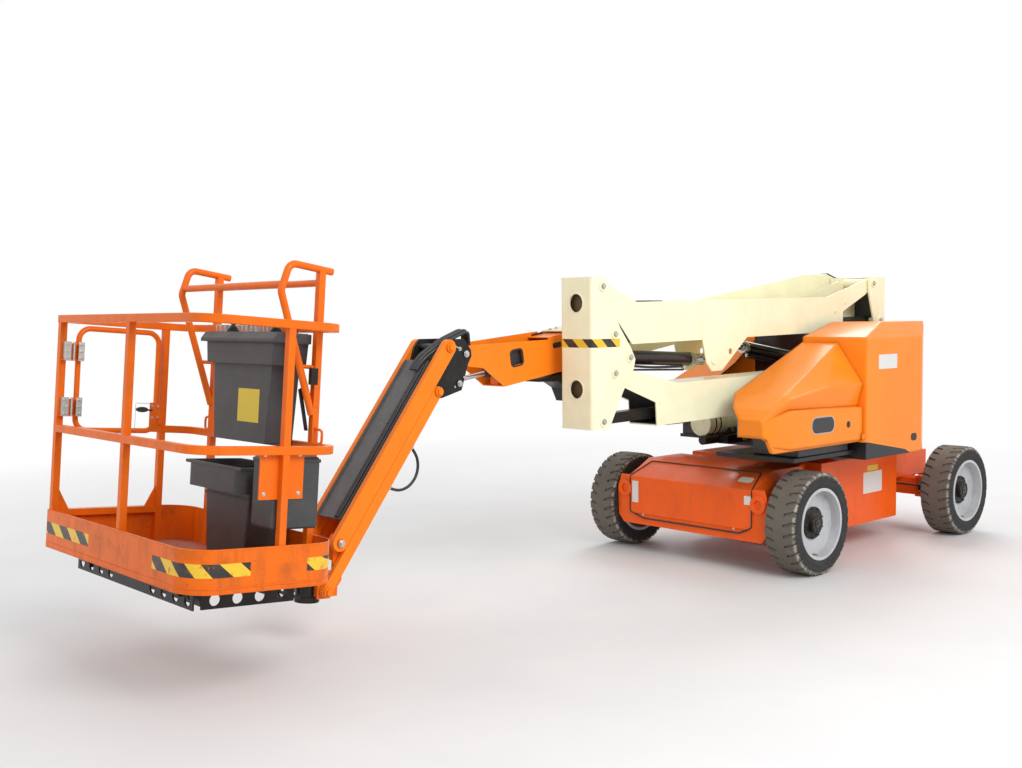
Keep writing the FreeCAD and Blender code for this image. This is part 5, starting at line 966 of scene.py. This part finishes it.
def build_jib_details():
    """Hoses over the knuckle and down the jib, and the cover's edges."""
    routes = [[(x, BOOM_Y + y + 0.012 * n * (n < 4), z + (lift if 0 < n < 4 else 0))
               for n, (x, z) in enumerate(KNUCKLE_ROUTE)] for y, lift in KNUCKLE_SIDES]
    hoses = [(tube, route, 0.0092, 10, 0.04, 6) for route in routes]
    item = piece("knuckle_hoses", MACHINE, None, HOSE_RUBBER, 0, *hoses)
    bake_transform(item)
    piece("cover_side_hoses", JIB, "jib", BLACK_RUBBER, 0,
        (box, (0.175, 1.128), (0.066, 0.0965), (0.0452, 0.0478)),
        *((bar, (0.15, y, 0.052), (1.12, y, 0.052), 0.0062, 12) for y in (0.0735, 0.0885)))
    piece("cover_edges", JIB, "jib", GREY_MOULDING, 0.0006,
        *((box, (0.125, 1.125), (y, y + 0.002), (0.044, 0.056)) for y in (0.061, -0.0965)))
    piece("jib_side_lines", JIB, "jib", HOSE_RUBBER, 0,
        *((tube, [(0.1, y, 0.02), (0.3, y, 0.038), (1.02, y, 0.038), (1.13, y, 0.016)], 0.0042, 8, 0.05)
          for y in (0.106, 0.114)))


def build_bracket_details():
    """Keeper link, levelling pin and its fittings on the tip bracket."""
    fittings = []
    for side in (1, -1):
        out, keeper_y = (0, side, 0), side * 0.1185
        fittings += [(bolts, [(0.052, side * 0.1195, -0.165)], out, 0.013),
                     (bolts, [(0.105, side * 0.1145, 0.055), (0.045, side * 0.1145, 0.03)], out, 0.0085),
                     (bar, (0.045, keeper_y, 0.03), (0.105, keeper_y, 0.055), 0.005, 10)]
        fittings += [(bar, (x, side * 0.114, z), (x, side * 0.124, z), 0.007, 6)
                     for x, z in ((0.022, -0.13), (0.09, -0.182))]
    piece("bracket_fittings", TIP, "tip_bracket", BOLT_ZINC, 0.0003, *fittings)


HOSE_LENGTH, HOSE_DIAMETER = 0.38, 0.016
# The loop hose's first point in the jib link's frame, then the length and turn of each run
HOSE_START, HOSE_RUN, HOSE_TURN, HOSE_RUNS = (0.345, 0.135, -0.03267), 0.048, 21.7, 8


def build_jib_hose():
    """The free hose that hangs in a loop under the jib link, between its two clamps."""
    x, y, z = HOSE_START
    route = [HOSE_START]
    for n in range(HOSE_RUNS):
        heading = math.radians(HOSE_TURN * (n - (HOSE_RUNS - 1) / 2))
        x += HOSE_RUN * math.cos(heading)
        z += HOSE_RUN * math.sin(heading)
        route.append((x, y, z))
    curve = bpy.data.curves.new("jib hose line", "CURVE")
    curve.dimensions = "3D"
    curve.bevel_depth = HOSE_DIAMETER / 2
    curve.bevel_resolution = 4
    curve.resolution_u = 12
    spline = curve.splines.new("NURBS")
    spline.points.add(len(route) - 1)
    for point, spot in zip(spline.points, route):
        point.co = (*spot, 1)
    spline.order_u = 3
    spline.use_endpoint_u = True
    curve.materials.append(HOSE_RUBBER)
    item = bpy.data.objects.new("jib_loop_hose", curve)
    item.matrix_world = JIB_LINK
    bpy.context.scene.collection.objects.link(item)
    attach(item, "jib_lower")
    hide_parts("jib_hose")
    bpy.context.view_layer.update()
    piece("hose_clamps", JIB_LINK, "jib_lower", BOLT_ZINC, 0.001,
        *((box, (spot[0] - 0.012, spot[0] + 0.012), (0.122, 0.148), (-0.036, -0.0295))
          for spot in (route[0], route[-1])))


build_jib_hose()
build_bracket_details()
build_pin_bolts()
build_nose_linings()
build_side_plugs()
build_front_face()
build_cylinder_fittings()
build_boom_details()
build_jib_details()


# Turntable and chassis

COVER_FACE, FRAME_FACE, CASING_FACE = (0.8553, 0.8562), (0.5603, 0.5612), (0.2753, 0.2762)
BADGE_BACK, BADGE_FRONT = (0.8352, 0.8368), (0.8366, 0.8376)
# Blank plates: name, body, finish, spans, rounded corner and the axis across
LABELS = (
    ("cover_label", "turntable", LABEL_WHITE, ((-0.955, -0.71), COVER_FACE, (1.306, 1.405)), 0.006, "Y"),
    ("chassis_label", "chassis", LABEL_WHITE, ((-1.286, -1.028), FRAME_FACE, (0.383, 0.537)), 0.006, "Y"),
    ("chassis_tag", "chassis", LABEL_YELLOW, ((-1.227, -1.082), FRAME_FACE, (0.545, 0.583)), 0.004, "Y"),
    ("drive_label", "chassis", LABEL_WHITE, (CASING_FACE, (-0.503, -0.446), (0.36, 0.512)), 0.004, "X"),
    ("lug_label", "chassis", LABEL_WHITE, (CASING_FACE, (0.461, 0.524), (0.448, 0.506)), 0.004, "X"),
    ("badge_edge", "engine_hood_left", BADGE_GREY, ((-0.194, 0.074), BADGE_BACK, (0.912, 1.024)), 0.052, "Y"),
    ("badge_face", "engine_hood_left", BADGE_BLACK, ((-0.187, 0.067), BADGE_FRONT, (0.919, 1.017)), 0.046,
     "Y"))


def on_machine(name, body, material, bevel, *shapes):
    """A piece in the machine's own frame."""
    return piece(name, MACHINE, body, material, bevel, *shapes)


def build_labels():
    """Blank labels where the machine has its plates."""
    for name, body, material, spans, round_off, axis in LABELS:
        on_machine(name, body, material, 0.0002, (plaque, *spans, round_off, axis))


def build_casing_trim():
    """Rubber line round the drive-end casing's door, screws, label, frame, and rings on the lugs."""
    face = 0.2762
    on_machine("casing_trim", "chassis", BLACK_RUBBER, 0,
        (tube, [(face, -0.521, 0.29), (face, -0.521, 0.545), (0.095, -0.47, 0.6385), (0.095, 0.47, 0.6385),
                (face, 0.521, 0.545), (face, 0.521, 0.3), (face, 0.42, 0.254), (face, -0.4, 0.254)],
         0.0052, 8, 0.018, 4, True))
    on_machine("casing_screws", "chassis", BOLT_ZINC, 0.0003,
        (bolts, [(0.2755, y, 0.278) for y in (-0.4, 0.38)], (1, 0, 0), 0.006))
    piece("casing_top_label", MACHINE @ tilted(0.275, 0, 0.545, 27.1), "chassis", LABEL_WHITE, 0.0002,
        (plaque, (-0.138, -0.078), (0.352, 0.462), (0.0006, 0.0014), 0.02, "Z"))
    half = [(0.000, 0.205), (0.59, 0.205), (0.638, 0.262), (0.645, 0.45), (0.612, 0.552), (0.5, 0.552),
            (0.5, 0.3), (0.000, 0.3)]
    on_machine("casing_frame", "chassis", ORANGE_CHASSIS, 0.003,
        *((prism, [(side * y, z) for y, z in half], "X", 0.258, 0.268) for side in (1, -1)),
        *((box, (0.11, 0.258), (y - 0.004, y + 0.004), (0.26, 0.5)) for y in (0.6, -0.6)))
    on_machine("lug_rings", "chassis", ORANGE_CHASSIS, 0.002,
        *((ring, (0.27, y, 0.455), (1, 0, 0), 0.03, 0.06, 0.012, 36) for y in (0.57, -0.57)))


def build_lower_edges():
    """The hood's lower lip, the rubber flap under the rear cover and the hoses above the chassis."""
    on_machine("hood_lip", "engine_hood_left", LEFT_COVER, 0.004,
        (prism, [(-0.53, 0.84), (-0.53, 0.824), (0.47, 0.824), (0.49, 0.832), (0.548, 0.922),
                 (0.48, 0.866), (0.3, 0.84)], "Y", 0.8, 0.8275))
    on_machine("cover_flap", "turntable", BLACK_RUBBER, 0,
        (prism, [(-0.5515, 0.6995), (-0.5515, 0.82), (-1.077, 0.729), (-1.14, 0.6995)], "Y", 0.8553, 0.8575),
        (box, (-0.55, -0.548), (0.4, 0.8575), (0.6995, 0.826)))
    on_machine("turntable_hoses", "turntable", HOSE_RUBBER, 0,
        *((tube, [(-0.3 - 0.05 * n, y - 0.14, 0.722), (-0.52, y, 0.7), (-0.95, y, 0.684),
                  (-1.28, y - 0.12, 0.69), (-1.4, y - 0.32, 0.705)], 0.0125, 10, 0.12)
          for n, y in enumerate((0.6, 0.635, 0.665))))


def build_cover_fittings():
    """Slot latch on the left cover, and a keyhole on each hood."""
    on_machine("cover_slot_latch", "turntable", BLACK_RUBBER, 0.0006,
        (plaque, (-1.236, -1.16), (0.8552, 0.8585), (0.782, 0.834), 0.024))
    for body, side, x in (("engine_hood_left", 1, -0.364), ("engine_hood_right", -1, -0.7)):
        y, z = side * 0.8352, 0.952
        on_machine("hood_lock_" + body, body, BLACK_RUBBER, 0.0006,
            (bar, (x, y - side * 0.004, z), (x, y + side * 0.002, z), 0.024, 28, 0.022),
            (bar, (x, y, z), (x, y + side * 0.004, z), 0.009, 16))


def build_power_unit():
    """Motor shell ahead of the pump, with black bands, and the black block and fittings under it."""
    y, z = -0.19, 0.912
    on_machine("motor_shell", "turntable", MOTOR_GREEN, 0.004,
        (bar, (-0.53, y, z), (-0.105, y, z), 0.09, 48))
    on_machine("motor_bands", "turntable", BLACK_FRAME, 0.001,
        *((bar, (x, y, z), (x + 0.014, y, z), 0.0916, 48) for x in (-0.18, -0.235)),
        *((bar, (x, -0.1, 0.835), (x, -0.1, 0.875), 0.012, 12) for x in (-0.32, -0.4)),
        (bar, (-0.46, -0.14, 0.8), (-0.06, -0.14, 0.8), 0.034, 24),
        (box, (-0.4, -0.22), (-0.13, -0.04), (0.768, 0.828)))


build_labels()
build_casing_trim()
build_lower_edges()
build_cover_fittings()
build_power_unit()


# Light, floor and camera

def build_studio():
    """Pale floor, soft lamps and a white surround."""
    floor_mesh = bpy.data.meshes.new("studio floor")
    reach = 40
    corners = [(reach * x, reach * y, 0) for x, y in ((-1, -1), (1, -1), (1, 1), (-1, 1))]
    floor_mesh.from_pydata(corners, [], [(0, 1, 2, 3)])
    floor = bpy.data.objects.new("studio_floor", floor_mesh)
    bpy.context.scene.collection.objects.link(floor)
    material, tree, shader = new_finish("pale studio floor", Roughness=0.6)
    place = own_place(tree)
    tone = mix(tree, ramp(tree, noise(tree, place, 1.4, 4.0), 0.3, 0.7), (0.74, 0.745, 0.75, 1),
               (0.78, 0.78, 0.78, 1))
    distance = node(tree, "VectorMath", operation="LENGTH", in_0=place).outputs["Value"]
    faded = node(tree, "MixShader", in_0=ramp(tree, distance, 3.2, 9.0), in_1=shader.outputs[0],
                 in_2=node(tree, "BsdfTransparent").outputs[0])
    send(tree, shader.inputs, Base_Color=tone)
    send(tree, tree.nodes["Material Output"].inputs, Surface=faded.outputs[0])
    floor_mesh.materials.append(material)

    world = bpy.data.worlds.new("white surround")
    bpy.context.scene.world = world
    world.use_nodes = True
    tree = world.node_tree
    tree.nodes.clear()
    path = node(tree, "LightPath")
    seen = plus(tree, path.outputs["Is Camera Ray"],
                     plus(tree, path.outputs["Is Glossy Ray"], path.outputs["Is Transmission Ray"]), True)
    strength = plus(tree, times(tree, seen, 0.35), 0.65)
    background = node(tree, "Background", in_Color=(1, 1, 1, 1), in_Strength=strength)
    node(tree, "OutputWorld", in_0=background.outputs[0])

    for label, spot, aim, size, power in (
            ("key", (1.8, 7.6, 6.2), (0, 0, 0.8), 5.0, 500),
            ("fill", (7.5, -3.0, 4.5), (0.5, 0, 0.8), 5.0, 80),
            ("back", (-7.0, -3.0, 6.0), (-1.0, 0, 1.0), 5.0, 240)):
        lamp = bpy.data.lights.new(label + " lamp", "AREA")
        lamp.shape = "DISK"
        lamp.size = size
        lamp.energy = power
        item = bpy.data.objects.new(label + "_lamp", lamp)
        item.location = spot
        item.rotation_euler = (Vector(aim) - Vector(spot)).to_track_quat("-Z", "Y").to_euler()
        bpy.context.scene.collection.objects.link(item)


def set_camera():
    """Camera where the photographer stood; its lens comes from the focal length and width in pixels."""
    place, focal_pixels, photo_width, sensor = (5.48403, 4.9374, 1.6766), 1153.4, 1022, 36.0
    yaw, pitch, roll = -2.316, -0.0573, -0.0088
    forward = Vector((math.cos(yaw) * math.cos(pitch), math.sin(yaw) * math.cos(pitch), math.sin(pitch)))
    level_right = forward.cross(Vector((0, 0, 1))).normalized()
    level_up = level_right.cross(forward)
    right = math.cos(roll) * level_right + math.sin(roll) * level_up
    up = -math.sin(roll) * level_right + math.cos(roll) * level_up
    lens = bpy.data.cameras.new("photo camera")
    lens.sensor_width = sensor
    lens.lens = sensor * focal_pixels / photo_width
    lens.clip_end = 200
    item = bpy.data.objects.new("photo_camera", lens)
    item.matrix_world = Matrix.Translation(place) @ Matrix((right, up, -forward)).transposed().to_4x4()
    bpy.context.scene.collection.objects.link(item)
    bpy.context.scene.camera = item


build_studio()
set_camera()
bpy.context.scene.view_settings.view_transform = "Standard"

bpy.context.view_layer.update()
